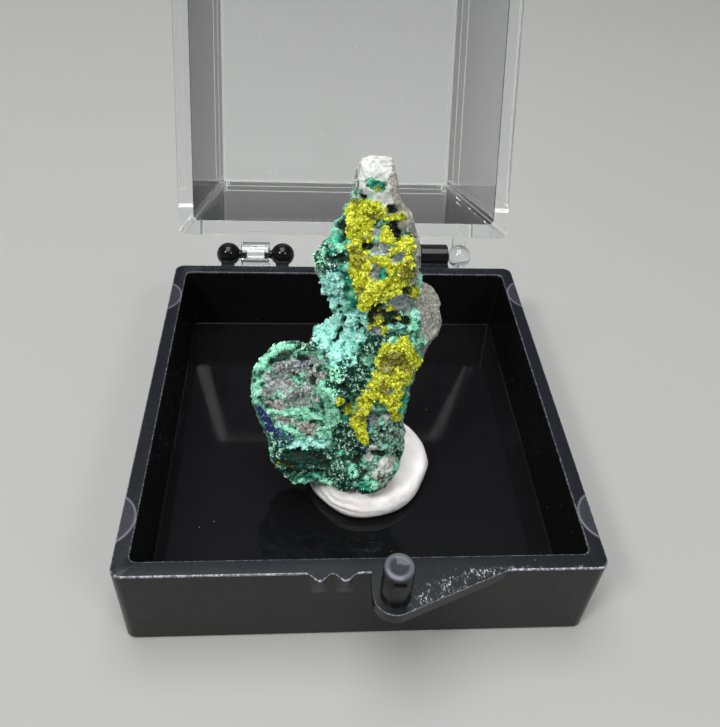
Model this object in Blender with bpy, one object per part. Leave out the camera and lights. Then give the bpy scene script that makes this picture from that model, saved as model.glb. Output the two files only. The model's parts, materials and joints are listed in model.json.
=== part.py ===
"""Volborthite specimen, fixed on a pad of putty in a hinged one-and-a-quarter-inch display box.

Metres, +Z up. The origin is the middle of the tray's underside. -Y is the latch side, +Y the hinge
side. The lid stands open as it rests: its far bottom edge lies on the same surface as the tray.
"""

import math

import bmesh
import bpy
from mathutils import Euler, Matrix, Vector, noise

# Tray
BOX_SIDE = 0.03175
TRAY_HEIGHT = 0.0077
CAVITY_DEPTH = 0.0061
RIM_WALL = 0.00107
OUTER_DRAFT = 0.012
INNER_DRAFT = 0.035
CORNER_RADIUS = 0.0007
INNER_CORNER_RADIUS = 0.0005
EDGE_RADIUS = 0.0002
CORNER_STEPS = 4

# Latch: a tab level with the rim, with a post for the lid's ear, and two ribs beside it
POST_X = 0.0018
POST_REACH = 0.0014
POST_RADIUS = 0.00097
POST_HEIGHT = 0.003
POST_CHAMFER = 0.0002
TAB_NOSE_RADIUS = 0.0014
TAB_ROOT_RIGHT = 0.0091
TAB_THICKNESS = 0.001
RIB_XS = (-0.00284, -0.00121)
RIB_RADIUS = 0.0006
RIB_LENGTH = 0.0022

# Lid
RIM_GAP = 0.0002
LID_HEIGHT = 0.0244
LID_WALL = 0.00147
LID_TOP = 0.0015
LID_OUTER_DRAFT = 0.008
LID_INNER_DRAFT = 0.0245
LID_EDGE_RADIUS = 0.0003
EAR_THICKNESS = 0.0011
EAR_HOLE_RADIUS = 0.00125
EAR_NOSE_RADIUS = 0.0022
TABLE_GAP = 0.00003

# Hinge: on the left two knobs of the tray hold the lid's arm, on the right the other way round
HINGE_SETBACK = 0.0018
HINGE_X = 0.0086
ARM_WIDTH = 0.00267
ARM_RADIUS = 0.00118
KNOB_RADIUS = 0.00112
SIDE_GAP = 0.00015
BORE_RADIUS = 0.00062
PIN_RADIUS = 0.00042
PIN_REACH = 0.0005
LUG_WIDTH = 0.0012
LUG_DEPTH = 0.0009
SINK = 0.0004

# Putty
PUTTY_CENTRE = (0.00105, -0.00305)
PUTTY_RADIUS = 0.0049
PUTTY_HEIGHT = 0.0019
PUTTY_FLOOR_GAP = 0.00003
POCKET_DEPTH = 0.0011
POCKET_GAP = 0.0003
PUTTY_STEPS = 36

# Specimen: heights and places in millimetres from the rim plane, a scale that suits a hand specimen
MM = 0.001
BASE_HALF_WIDTH = 2.5
BASE_HALF_DEPTH = 2.2
BASE_CENTRE = (0.95, -3.9)
VOXEL = 0.0002
SPECIMEN_TRIANGLES = 6500
TIP_FOOT = 17.0
NOISE_SEED = Vector((3.1, 7.7, 1.9))

RIM_Z = TRAY_HEIGHT
FLOOR_Z = TRAY_HEIGHT - CAVITY_DEPTH
HALF = BOX_SIDE / 2
AXIS_Y = HALF + HINGE_SETBACK


def lid_rest_angle():
    """The angle through which the lid has turned back when its far edge meets the table."""
    target = -(TRAY_HEIGHT - TABLE_GAP)
    low, high = math.radians(90), math.radians(150)
    reach = HINGE_SETBACK + LID_EDGE_RADIUS + LID_OUTER_DRAFT * LID_HEIGHT
    top = LID_HEIGHT - LID_EDGE_RADIUS
    for _ in range(60):
        angle = (low + high) / 2
        edge = reach * math.sin(angle) + top * math.cos(angle) - LID_EDGE_RADIUS
        low, high = (angle, high) if edge > target else (low, angle)
    return angle


def clear_scene():
    for obj in list(bpy.data.objects):
        bpy.data.objects.remove(obj, do_unlink=True)


def material(name, colour, roughness, metallic=0.0, transmission=0.0, ior=1.5):
    made = bpy.data.materials.new(name)
    made.use_nodes = True
    shader = made.node_tree.nodes["Principled BSDF"]
    shader.inputs["Base Color"].default_value = (*colour, 1.0)
    shader.inputs["Roughness"].default_value = roughness
    shader.inputs["Metallic"].default_value = metallic
    shader.inputs["Transmission Weight"].default_value = transmission
    shader.inputs["IOR"].default_value = ior
    return made


def rounded_rectangle(half_x, half_y, radius, z, centre=(0.0, 0.0)):
    """Points of a rounded rectangle, anticlockwise seen from above."""
    points = []
    for turn, (sign_x, sign_y) in enumerate(((1, 1), (-1, 1), (-1, -1), (1, -1))):
        middle_x = centre[0] + sign_x * (half_x - radius)
        middle_y = centre[1] + sign_y * (half_y - radius)
        for step in range(CORNER_STEPS + 1):
            angle = math.radians(90 * (turn + step / CORNER_STEPS))
            x = middle_x + radius * math.cos(angle)
            y = middle_y + radius * math.sin(angle)
            points.append(Vector((x, y, z)))
    return points


def loft(rings):
    """A closed mesh through rings of equal length, capped at the first and the last one."""
    mesh = bmesh.new()
    rows = [[mesh.verts.new(point) for point in ring] for ring in rings]
    count = len(rows[0])
    for lower, upper in zip(rows, rows[1:]):
        for i in range(count):
            j = (i + 1) % count
            mesh.faces.new((lower[i], lower[j], upper[j], upper[i]))
    mesh.faces.new(list(reversed(rows[0])))
    mesh.faces.new(rows[-1])
    return mesh


def extrude(outline, low, high):
    """A closed prism over an anticlockwise outline in the XY plane."""
    return loft([[Vector((x, y, z)) for x, y in outline] for z in (low, high)])


def turned_pin(radius, start, end, segments=20, chamfer=0.0):
    """A round pin along +Z from start to end, with its far edge broken."""
    heights = [(radius, start), (radius, end - chamfer)]
    if chamfer:
        heights.append((radius - chamfer, end))
    rings = []
    for r, z in heights:
        angles = [2 * math.pi * i / segments for i in range(segments)]
        rings.append([Vector((r * math.cos(a), r * math.sin(a), z)) for a in angles])
    return loft(rings)


def place(name, mesh, finish=None, location=(0, 0, 0), rotation=(0, 0, 0), smooth=math.radians(30)):
    """A new object from a bmesh, smooth where its faces meet at less than the given angle."""
    data = bpy.data.meshes.new(name)
    mesh.to_mesh(data)
    mesh.free()
    data.shade_smooth()
    data.set_sharp_from_angle(angle=smooth)
    if finish:
        data.materials.append(finish)
    obj = bpy.data.objects.new(name, data)
    obj.location = location
    obj.rotation_euler = rotation
    bpy.context.scene.collection.objects.link(obj)
    return obj


def helper_group(name):
    group = bpy.data.collections.new(name)
    bpy.context.scene.collection.children.link(group)
    return group


def add_helper(group, name, mesh, parent=None, location=(0, 0, 0), rotation=(0, 0, 0)):
    """A hidden shape that a Boolean joins to, or cuts from, its parent."""
    obj = place(name, mesh, location=location, rotation=rotation)
    bpy.context.scene.collection.objects.unlink(obj)
    group.objects.link(obj)
    obj.parent = parent
    obj.hide_render = True
    obj.display_type = "WIRE"


def combine(obj, group, operation):
    modifier = obj.modifiers.new(operation.title(), "BOOLEAN")
    modifier.operation = operation
    modifier.operand_type = "COLLECTION"
    modifier.collection = group
    modifier.solver = "EXACT"


def tab_outline(nose_y, nose_radius, root_y, root_right):
    """The latch tab from above: a straight left side, a round nose, a slanted right side."""
    centre = Vector((POST_X, nose_y))
    root = Vector((root_right, root_y))
    away = root - centre
    tangent = math.atan2(away.y, away.x) - math.acos(nose_radius / away.length)
    start, steps = math.pi, 10
    turn = (tangent - start) % (2 * math.pi)
    outline = [(POST_X - nose_radius, root_y + SINK)]
    for i in range(steps + 1):
        angle = start + turn * i / steps
        outline.append((centre.x + nose_radius * math.cos(angle), centre.y + nose_radius * math.sin(angle)))
    outline += [(root.x, root.y), (root.x, root.y + SINK)]
    return outline


def lug(half_width, start, end, low, high):
    """A block from start to end along Y, between two heights, centred on X."""
    corners = ((-half_width, start), (half_width, start), (half_width, end), (-half_width, end))
    return extrude(corners, low, high)


def knob():
    mesh = bmesh.new()
    bmesh.ops.create_uvsphere(mesh, u_segments=18, v_segments=10, radius=KNOB_RADIUS)
    return mesh


def add_knob_pair(group, hinge_x, owner, axis, lug_ends, lug_heights):
    """Two knobs on lugs, each with a short pin into the bore of the other part's arm."""
    offset = ARM_WIDTH / 2 + SIDE_GAP + KNOB_RADIUS * 0.97
    for side, sign in (("left", -1), ("right", 1)):
        place_x = hinge_x + sign * offset
        along_x = (0, math.pi / 2, 0)
        add_helper(group, f"{owner}_knob_{side}", knob(), None, (place_x, *axis), along_x)
        bracket = lug(LUG_WIDTH / 2, *lug_ends, *lug_heights)
        add_helper(group, f"{owner}_lug_{side}", bracket, None, (place_x, 0, 0))
        start, end = sorted((sign * (ARM_WIDTH / 2 - PIN_REACH), sign * offset))
        pin = turned_pin(PIN_RADIUS, start, end, 12)
        add_helper(group, f"{owner}_pin_{side}", pin, None, (hinge_x, *axis), along_x)


def add_arm(joined, cut, hinge_x, owner, axis, lug_ends, lug_heights):
    """The arm that the other part's knobs hold, and the bore through its round end."""
    along_x = (0, math.pi / 2, 0)
    half = ARM_WIDTH / 2
    barrel = turned_pin(ARM_RADIUS, -half, half, 24)
    add_helper(joined, f"{owner}_barrel", barrel, None, (hinge_x, *axis), along_x)
    bracket = lug(half, *lug_ends, *lug_heights)
    add_helper(joined, f"{owner}_arm", bracket, None, (hinge_x, 0, 0))
    bore = turned_pin(BORE_RADIUS, -half * 1.3, half * 1.3, 16)
    add_helper(cut, f"{owner}_bore", bore, None, (hinge_x, *axis), along_x)


def tray_rings():
    """The tray's section, from its underside round the rim to its floor."""
    rings = []
    for step in range(3):
        angle = math.radians(45 * step)
        inset = EDGE_RADIUS * (1 - math.sin(angle)) + OUTER_DRAFT * TRAY_HEIGHT
        z = EDGE_RADIUS * (1 - math.cos(angle))
        rings.append(rounded_rectangle(HALF - inset, HALF - inset, CORNER_RADIUS, z))
    inner = HALF - RIM_WALL
    foot = inner - INNER_DRAFT * CAVITY_DEPTH
    rings.append(rounded_rectangle(HALF, HALF, CORNER_RADIUS, RIM_Z))
    rings.append(rounded_rectangle(inner, inner, INNER_CORNER_RADIUS, RIM_Z))
    rings.append(rounded_rectangle(foot, foot, INNER_CORNER_RADIUS, FLOOR_Z))
    return rings


def make_tray(finish):
    tray = place("tray", loft(tray_rings()), finish)
    joined, cut = helper_group("tray joined"), helper_group("tray cut")
    nose_y = -HALF - POST_REACH
    outline = tab_outline(nose_y, TAB_NOSE_RADIUS, -HALF, TAB_ROOT_RIGHT)
    add_helper(joined, "latch_tab", extrude(outline, RIM_Z - TAB_THICKNESS, RIM_Z))
    post = turned_pin(POST_RADIUS, -TAB_THICKNESS / 2, POST_HEIGHT, 24, POST_CHAMFER)
    add_helper(joined, "latch_post", post, None, (POST_X, nose_y, RIM_Z))
    for index, rib_x in enumerate(RIB_XS):
        rib = turned_pin(RIB_RADIUS, -RIB_LENGTH, 0.0, 12)
        add_helper(joined, f"front_rib_{index + 1}", rib, None, (rib_x, -HALF, RIM_Z))
    axis = (AXIS_Y, RIM_Z)
    ends = (HALF - SINK, AXIS_Y)
    heights = (RIM_Z - LUG_DEPTH, RIM_Z - SIDE_GAP)
    add_knob_pair(joined, -HINGE_X, "tray", axis, ends, heights)
    add_arm(joined, cut, HINGE_X, "tray", axis, ends, heights)
    combine(tray, joined, "UNION")
    combine(tray, cut, "DIFFERENCE")
    return tray


def lid_rings():
    """The closed lid's section about the hinge axis, from its ceiling round the rim to its top."""
    middle = (0.0, -AXIS_Y)
    inner = HALF - LID_WALL
    ceiling = LID_HEIGHT - LID_TOP
    narrow = inner - LID_INNER_DRAFT * ceiling
    rings = [
        rounded_rectangle(narrow, narrow, INNER_CORNER_RADIUS, ceiling, middle),
        rounded_rectangle(inner, inner, INNER_CORNER_RADIUS, RIM_GAP, middle),
        rounded_rectangle(HALF, HALF, CORNER_RADIUS, RIM_GAP, middle),
    ]
    for step in range(3):
        angle = math.radians(45 * step)
        inset = LID_EDGE_RADIUS * (1 - math.cos(angle)) + LID_OUTER_DRAFT * LID_HEIGHT
        z = LID_HEIGHT - LID_EDGE_RADIUS * (1 - math.sin(angle))
        rings.append(rounded_rectangle(HALF - inset, HALF - inset, CORNER_RADIUS, z, middle))
    return rings


def make_lid(finish):
    """The lid in its closed place about the hinge axis, then turned back to rest."""
    lid = place("lid", loft(lid_rings()), finish)
    joined, cut = helper_group("lid joined"), helper_group("lid cut")
    axis = (0.0, 0.0)
    ends = (-HINGE_SETBACK - SINK, 0.0)
    heights = (SIDE_GAP, LUG_DEPTH)
    add_knob_pair(joined, HINGE_X, "lid", axis, ends, heights)
    add_arm(joined, cut, -HINGE_X, "lid", axis, ends, heights)
    front = -AXIS_Y - HALF
    nose_y = front - POST_REACH
    ear = tab_outline(nose_y, EAR_NOSE_RADIUS, front, TAB_ROOT_RIGHT)
    add_helper(joined, "latch_ear", extrude(ear, RIM_GAP, RIM_GAP + EAR_THICKNESS))
    hole = turned_pin(EAR_HOLE_RADIUS, -EAR_THICKNESS, 3 * EAR_THICKNESS, 24)
    add_helper(cut, "latch_hole", hole, None, (POST_X, nose_y, 0.0))
    for group in (joined, cut):
        for shape in group.objects:
            shape.parent = lid
    combine(lid, joined, "UNION")
    combine(lid, cut, "DIFFERENCE")
    lid.location = (0.0, AXIS_Y, RIM_Z)
    lid.rotation_euler = (-lid_rest_angle(), 0.0, 0.0)
    return lid


def putty_ring(radius_share, height, lumps=0.03):
    """A ring of the pad, pressed a little out of round."""
    points = []
    for i in range(PUTTY_STEPS):
        angle = 2 * math.pi * i / PUTTY_STEPS
        swell = 1 + lumps * (math.sin(3 * angle + 0.6) * 0.5 + math.sin(7 * angle + 2.0) * 0.35)
        radius = PUTTY_RADIUS * radius_share * swell
        x = PUTTY_CENTRE[0] + radius * math.cos(angle)
        y = PUTTY_CENTRE[1] + radius * math.sin(angle)
        points.append(Vector((x, y, FLOOR_Z + PUTTY_FLOOR_GAP + height)))
    return points


def pocket_ring(gap, height):
    """A ring of the pocket that the specimen's foot is pressed into."""
    points = []
    for i in range(PUTTY_STEPS):
        angle = 2 * math.pi * i / PUTTY_STEPS
        x = (BASE_CENTRE[0] + BASE_HALF_WIDTH * math.cos(angle)) * MM + gap * math.cos(angle)
        y = (BASE_CENTRE[1] + BASE_HALF_DEPTH * math.sin(angle)) * MM + gap * math.sin(angle)
        points.append(Vector((x, y, FLOOR_Z + PUTTY_FLOOR_GAP + height)))
    return points


def make_putty(finish):
    profile = ((0.90, 0.0), (0.975, 0.18), (1.0, 0.42), (0.985, 0.66), (0.92, 0.88), (0.80, 1.0))
    rings = [putty_ring(share, height * PUTTY_HEIGHT) for share, height in profile]
    rings.append(pocket_ring(POCKET_GAP, PUTTY_HEIGHT))
    rings.append(pocket_ring(POCKET_GAP * 0.9, PUTTY_HEIGHT - POCKET_DEPTH))
    return place("putty", loft(rings), finish, smooth=math.radians(50))


# The main column: height, middle x, middle y, half width, half depth, in millimetres from the rim plane
COLUMN = (
    (-5.1, 0.95, -3.9, 2.4, 2.1),
    (-3.9, 0.9, -4.0, 2.5, 2.4),
    (-2.0, 0.9, -3.9, 2.7, 2.8),
    (1.0, 0.9, -3.6, 2.6, 3.0),
    (3.6, 0.8, -3.3, 2.7, 3.0),
    (6.4, 1.2, -2.9, 3.3, 3.1),
    (9.4, 1.8, -2.3, 3.6, 2.9),
    (12.4, 0.8, -1.9, 3.0, 2.6),
    (15.0, 0.4, -1.5, 2.8, 2.4),
    (16.6, 0.6, -1.2, 2.2, 2.0),
    (17.8, 0.5, -1.0, 1.75, 1.7),
    (18.9, 0.5, -0.9, 1.58, 1.5),
    (19.8, 0.45, -0.8, 1.4, 1.35),
    (20.4, 0.45, -0.7, 1.22, 1.2),
    (20.85, 0.7, -0.6, 0.78, 0.9),
)

# Lumps fused into the column: place, radii and lean about Y in degrees, in millimetres
LUMPS = {
    "left lobe": ((-3.6, -3.6, 1.3), (3.7, 2.4, 4.7), 8),
    "lobe foot": ((-3.4, -4.7, -1.6), (3.1, 2.4, 2.3), 0),
    "lobe upper rim": ((-4.3, -2.8, 5.8), (2.8, 1.5, 1.2), 8),
    "lobe outer rim": ((-6.5, -3.3, 3.2), (1.1, 1.5, 3.2), -6),
    "lobe lower rim": ((-5.4, -4.0, -0.8), (1.2, 1.7, 2.2), 20),
    "middle knot": ((-1.2, -4.7, 6.6), (1.9, 1.7, 2.3), -20),
    "middle shelf": ((-2.1, -3.2, 7.9), (1.8, 1.8, 1.0), 10),
    "front foot": ((1.0, -5.9, -1.9), (2.0, 1.9, 2.1), 0),
    "foot bridge": ((-0.9, -6.0, -2.2), (1.8, 1.6, 1.7), 0),
    "upper left lobe": ((-1.6, -2.2, 13.8), (1.7, 1.6, 2.3), -14),
    "upper left bud": ((-0.7, -1.9, 11.4), (1.1, 1.4, 1.4), 0),
    "right shoulder": ((3.8, -1.4, 9.4), (1.7, 2.0, 2.1), -24),
    "right flank": ((2.4, -1.4, 14.6), (1.1, 1.8, 2.4), 5),
    "crust plate": ((1.0, -3.6, 13.0), (1.8, 1.2, 4.3), 2),
    "lower crust": ((1.9, -5.0, 4.4), (1.5, 1.4, 2.5), 6),
}

# Hollows pressed into the surface: place, radii, in millimetres
PITS = {
    "bowl": ((-4.3, -7.0, 4.0), (2.6, 1.9, 2.7)),
    "foot cave": ((-3.2, -7.6, -1.9), (1.9, 1.2, 0.8)),
    "upper pocket": ((-0.9, -4.4, 15.4), (0.6, 0.9, 0.7)),
    "crust window": ((2.8, -4.9, 11.4), (0.5, 0.8, 0.6)),
    "lobe notch": ((-2.3, -1.9, 10.0), (0.7, 2.4, 0.5)),
}


def column_mesh(steps=20):
    """The main column as a loft of rings that turn from slightly ridged to squared at the tip."""
    rings = []
    for z, x, y, half_width, half_depth in COLUMN:
        ring = []
        for i in range(steps):
            angle = 2 * math.pi * i / steps
            square = 1 + (0.08 if z < TIP_FOOT else -0.09) * math.cos(4 * angle)
            ring.append(Vector((x + half_width * square * math.cos(angle),
                                y + half_depth * square * math.sin(angle), z)))
        rings.append(ring)
    return loft(rings)


def add_lump(mesh, centre, radii, lean):
    turn = Euler((0.0, math.radians(lean), 0.0)).to_matrix().to_4x4()
    matrix = Matrix.Translation(centre) @ turn @ Matrix.Diagonal((*radii, 1.0))
    bmesh.ops.create_icosphere(mesh, subdivisions=3, radius=1.0, matrix=matrix)


def pit_depth(point):
    """How far a point lies inside the nearest pit, as a share of the pit's size."""
    deepest, push = 0.0, Vector((0.0, 0.0, 0.0))
    for centre, radii in PITS.values():
        away = point - Vector(centre)
        share = Vector((away[i] / radii[i] for i in range(3))).length
        if share < 1.0 and 1.0 - share > deepest:
            deepest = 1.0 - share
            push = away.normalized() * (sum(radii) / 3) * (1.0 - share)
    return push


def crusted(point):
    """1 on the crusted front, down to 0 on the bare stone of the flank and back."""
    return min(1.0, max(0.0, (2.6 - point.x - 0.9 * (point.y + 2.6)) / 2.0))


def rough(point):
    """How far the broken, lumpy surface stands proud at a point, in millimetres."""
    here = point * 0.42 + NOISE_SEED
    broad = noise.fractal(here, 1.0, 2.0, 3) * 0.36
    nearest = noise.voronoi(point * 0.85 + NOISE_SEED)[0]
    lumps = (0.35 - nearest[0]) * 0.6 * crusted(point)
    ledge = noise.noise(Vector((point.x * 0.25, point.y * 0.25, point.z * 1.3)) + NOISE_SEED) * 0.3
    return broad + lumps + ledge


def height_fade(z):
    """Nothing stands proud where the foot sits in the putty, and little on the blocky tip."""
    foot = min(1.0, max(0.0, (z + 4.4) / 1.2))
    return foot * (1 - 0.75 * min(1.0, max(0.0, (z - TIP_FOOT) / 1.5)))


def weather(mesh):
    """Moves each vertex in or out by the rough surface, and into the pits."""
    mesh.normal_update()
    moves = []
    for vert in mesh.verts:
        proud = rough(vert.co) * height_fade(vert.co.z)
        moves.append(vert.normal * proud + pit_depth(vert.co))
    for vert, move in zip(mesh.verts, moves):
        vert.co += move


def evaluated_bmesh(obj):
    graph = bpy.context.evaluated_depsgraph_get()
    mesh = bmesh.new()
    mesh.from_object(obj, graph)
    return mesh


def make_specimen(finish):
    """One natural solid: column and lumps fused, roughened, pitted and brought down to facets."""
    mesh = column_mesh()
    for centre, radii, lean in LUMPS.values():
        add_lump(mesh, centre, radii, lean)
    rough_form = place("specimen_form", mesh)
    fuse = rough_form.modifiers.new("Fuse", "REMESH")
    fuse.mode = "VOXEL"
    fuse.voxel_size = VOXEL / MM
    mesh = evaluated_bmesh(rough_form)
    bpy.data.objects.remove(rough_form, do_unlink=True)
    weather(mesh)
    bmesh.ops.transform(mesh, matrix=Matrix.Translation((0, 0, RIM_Z)) @ Matrix.Scale(MM, 4), verts=mesh.verts)
    specimen = place("specimen", mesh, finish, smooth=math.radians(40))
    again = specimen.modifiers.new("Even", "REMESH")
    again.mode = "VOXEL"
    again.voxel_size = VOXEL
    count = len(evaluated_bmesh(specimen).faces)
    facets = specimen.modifiers.new("Facets", "DECIMATE")
    facets.ratio = SPECIMEN_TRIANGLES / (2 * count)
    return specimen


def main():
    clear_scene()
    make_tray(material("black polystyrene", (0.012, 0.012, 0.013), 0.18))
    make_lid(material("clear polystyrene", (0.95, 0.96, 0.97), 0.04, transmission=1.0, ior=1.59))
    make_putty(material("white putty", (0.86, 0.80, 0.77), 0.6))
    make_specimen(material("green and yellow crust", (0.24, 0.45, 0.25), 0.75))


main()
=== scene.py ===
"""Looks of a volborthite specimen, fixed with putty in its small hinged display box.

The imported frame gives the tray, the lid, the putty and the specimen at their real sizes, in metres.
Each sub-assembly here is a class that builds its own meshes round that frame and dresses them.
Places on the specimen are given in millimetres from the middle of the tray, at the height of its rim.
"""

import json
import logging
import math
from dataclasses import dataclass, field
from enum import Enum
from typing import Callable, Iterable, Optional, Sequence

import bmesh
import bpy
import numpy as np
from bmesh.types import BMesh
from bpy.types import Material, Node, NodeSocket as Socket
from mathutils import Matrix, Vector, noise


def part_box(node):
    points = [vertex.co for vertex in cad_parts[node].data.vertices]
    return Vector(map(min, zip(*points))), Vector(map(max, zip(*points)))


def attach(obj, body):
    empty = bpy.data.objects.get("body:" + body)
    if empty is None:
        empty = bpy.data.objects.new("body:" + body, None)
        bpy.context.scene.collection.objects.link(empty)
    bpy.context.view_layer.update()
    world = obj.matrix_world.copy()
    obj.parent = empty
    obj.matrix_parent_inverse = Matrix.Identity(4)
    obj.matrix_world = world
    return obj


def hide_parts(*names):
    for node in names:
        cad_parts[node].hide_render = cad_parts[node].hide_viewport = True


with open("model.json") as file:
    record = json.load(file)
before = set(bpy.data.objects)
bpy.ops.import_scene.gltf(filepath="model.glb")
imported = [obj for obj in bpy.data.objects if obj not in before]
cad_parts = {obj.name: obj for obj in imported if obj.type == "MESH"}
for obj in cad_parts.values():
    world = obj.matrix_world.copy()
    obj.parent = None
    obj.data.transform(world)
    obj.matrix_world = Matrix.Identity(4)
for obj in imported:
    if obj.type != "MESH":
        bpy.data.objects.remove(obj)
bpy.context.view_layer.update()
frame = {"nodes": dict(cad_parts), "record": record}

log = logging.getLogger("volborthite")

Pair = tuple[float, float]
Triple = tuple[float, float, float]
Colour = Triple
Ring = list[Vector]
Piece = bpy.types.Object

MM = 0.001
HINGE = frame["record"]["behaviour"]["joints"][0]["pos_m"]
AXIS_Y, RIM_Z = HINGE[1], HINGE[2]
HALF_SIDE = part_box("tray")[1][0]
VIEW_POINT_MM = (-4.11, -42.56, 44.484)


class Axis(Enum):
    """A direction that a turned part is laid along."""

    X = "x"
    Z = "z"


class Surface(Enum):
    """The kinds of surface on the specimen, named as their masks are stored on its mesh."""

    STONE = "stone"
    DEEP = "deep_green"
    PALE_GREEN = "pale_green"
    TEAL = "teal"
    TURQUOISE = "turquoise"
    MATRIX = "matrix"
    BLUSH = "blush"
    MINT = "mint"
    STAIN = "blue_stain"
    AZURITE = "azurite"
    QUARTZ = "quartz"
    PALE_STONE = "pale_stone"
    VOLBORTHITE = "volborthite"
    # Volborthite darkened as painted shade.
    SHADED_VOLBORTHITE = "shaded_volborthite"
    WINDOW = "window"
    # Dark recesses: painted shadow.
    SHADOW_POCKET = "shadow_pocket"


def srgb(red: int, green: int, blue: int) -> Colour:
    """Turns a colour in display values, 0 to 255, into the linear values that shaders take.

    Args:
        red: The red value.
        green: The green value.
        blue: The blue value.

    Returns:
        The linear red, green and blue.
    """
    def one(value: int) -> float:
        """Turns one display value into its linear one."""
        share = value / 255
        return share / 12.92 if share <= 0.04045 else ((share + 0.055) / 1.055) ** 2.4

    return one(red), one(green), one(blue)


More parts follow.
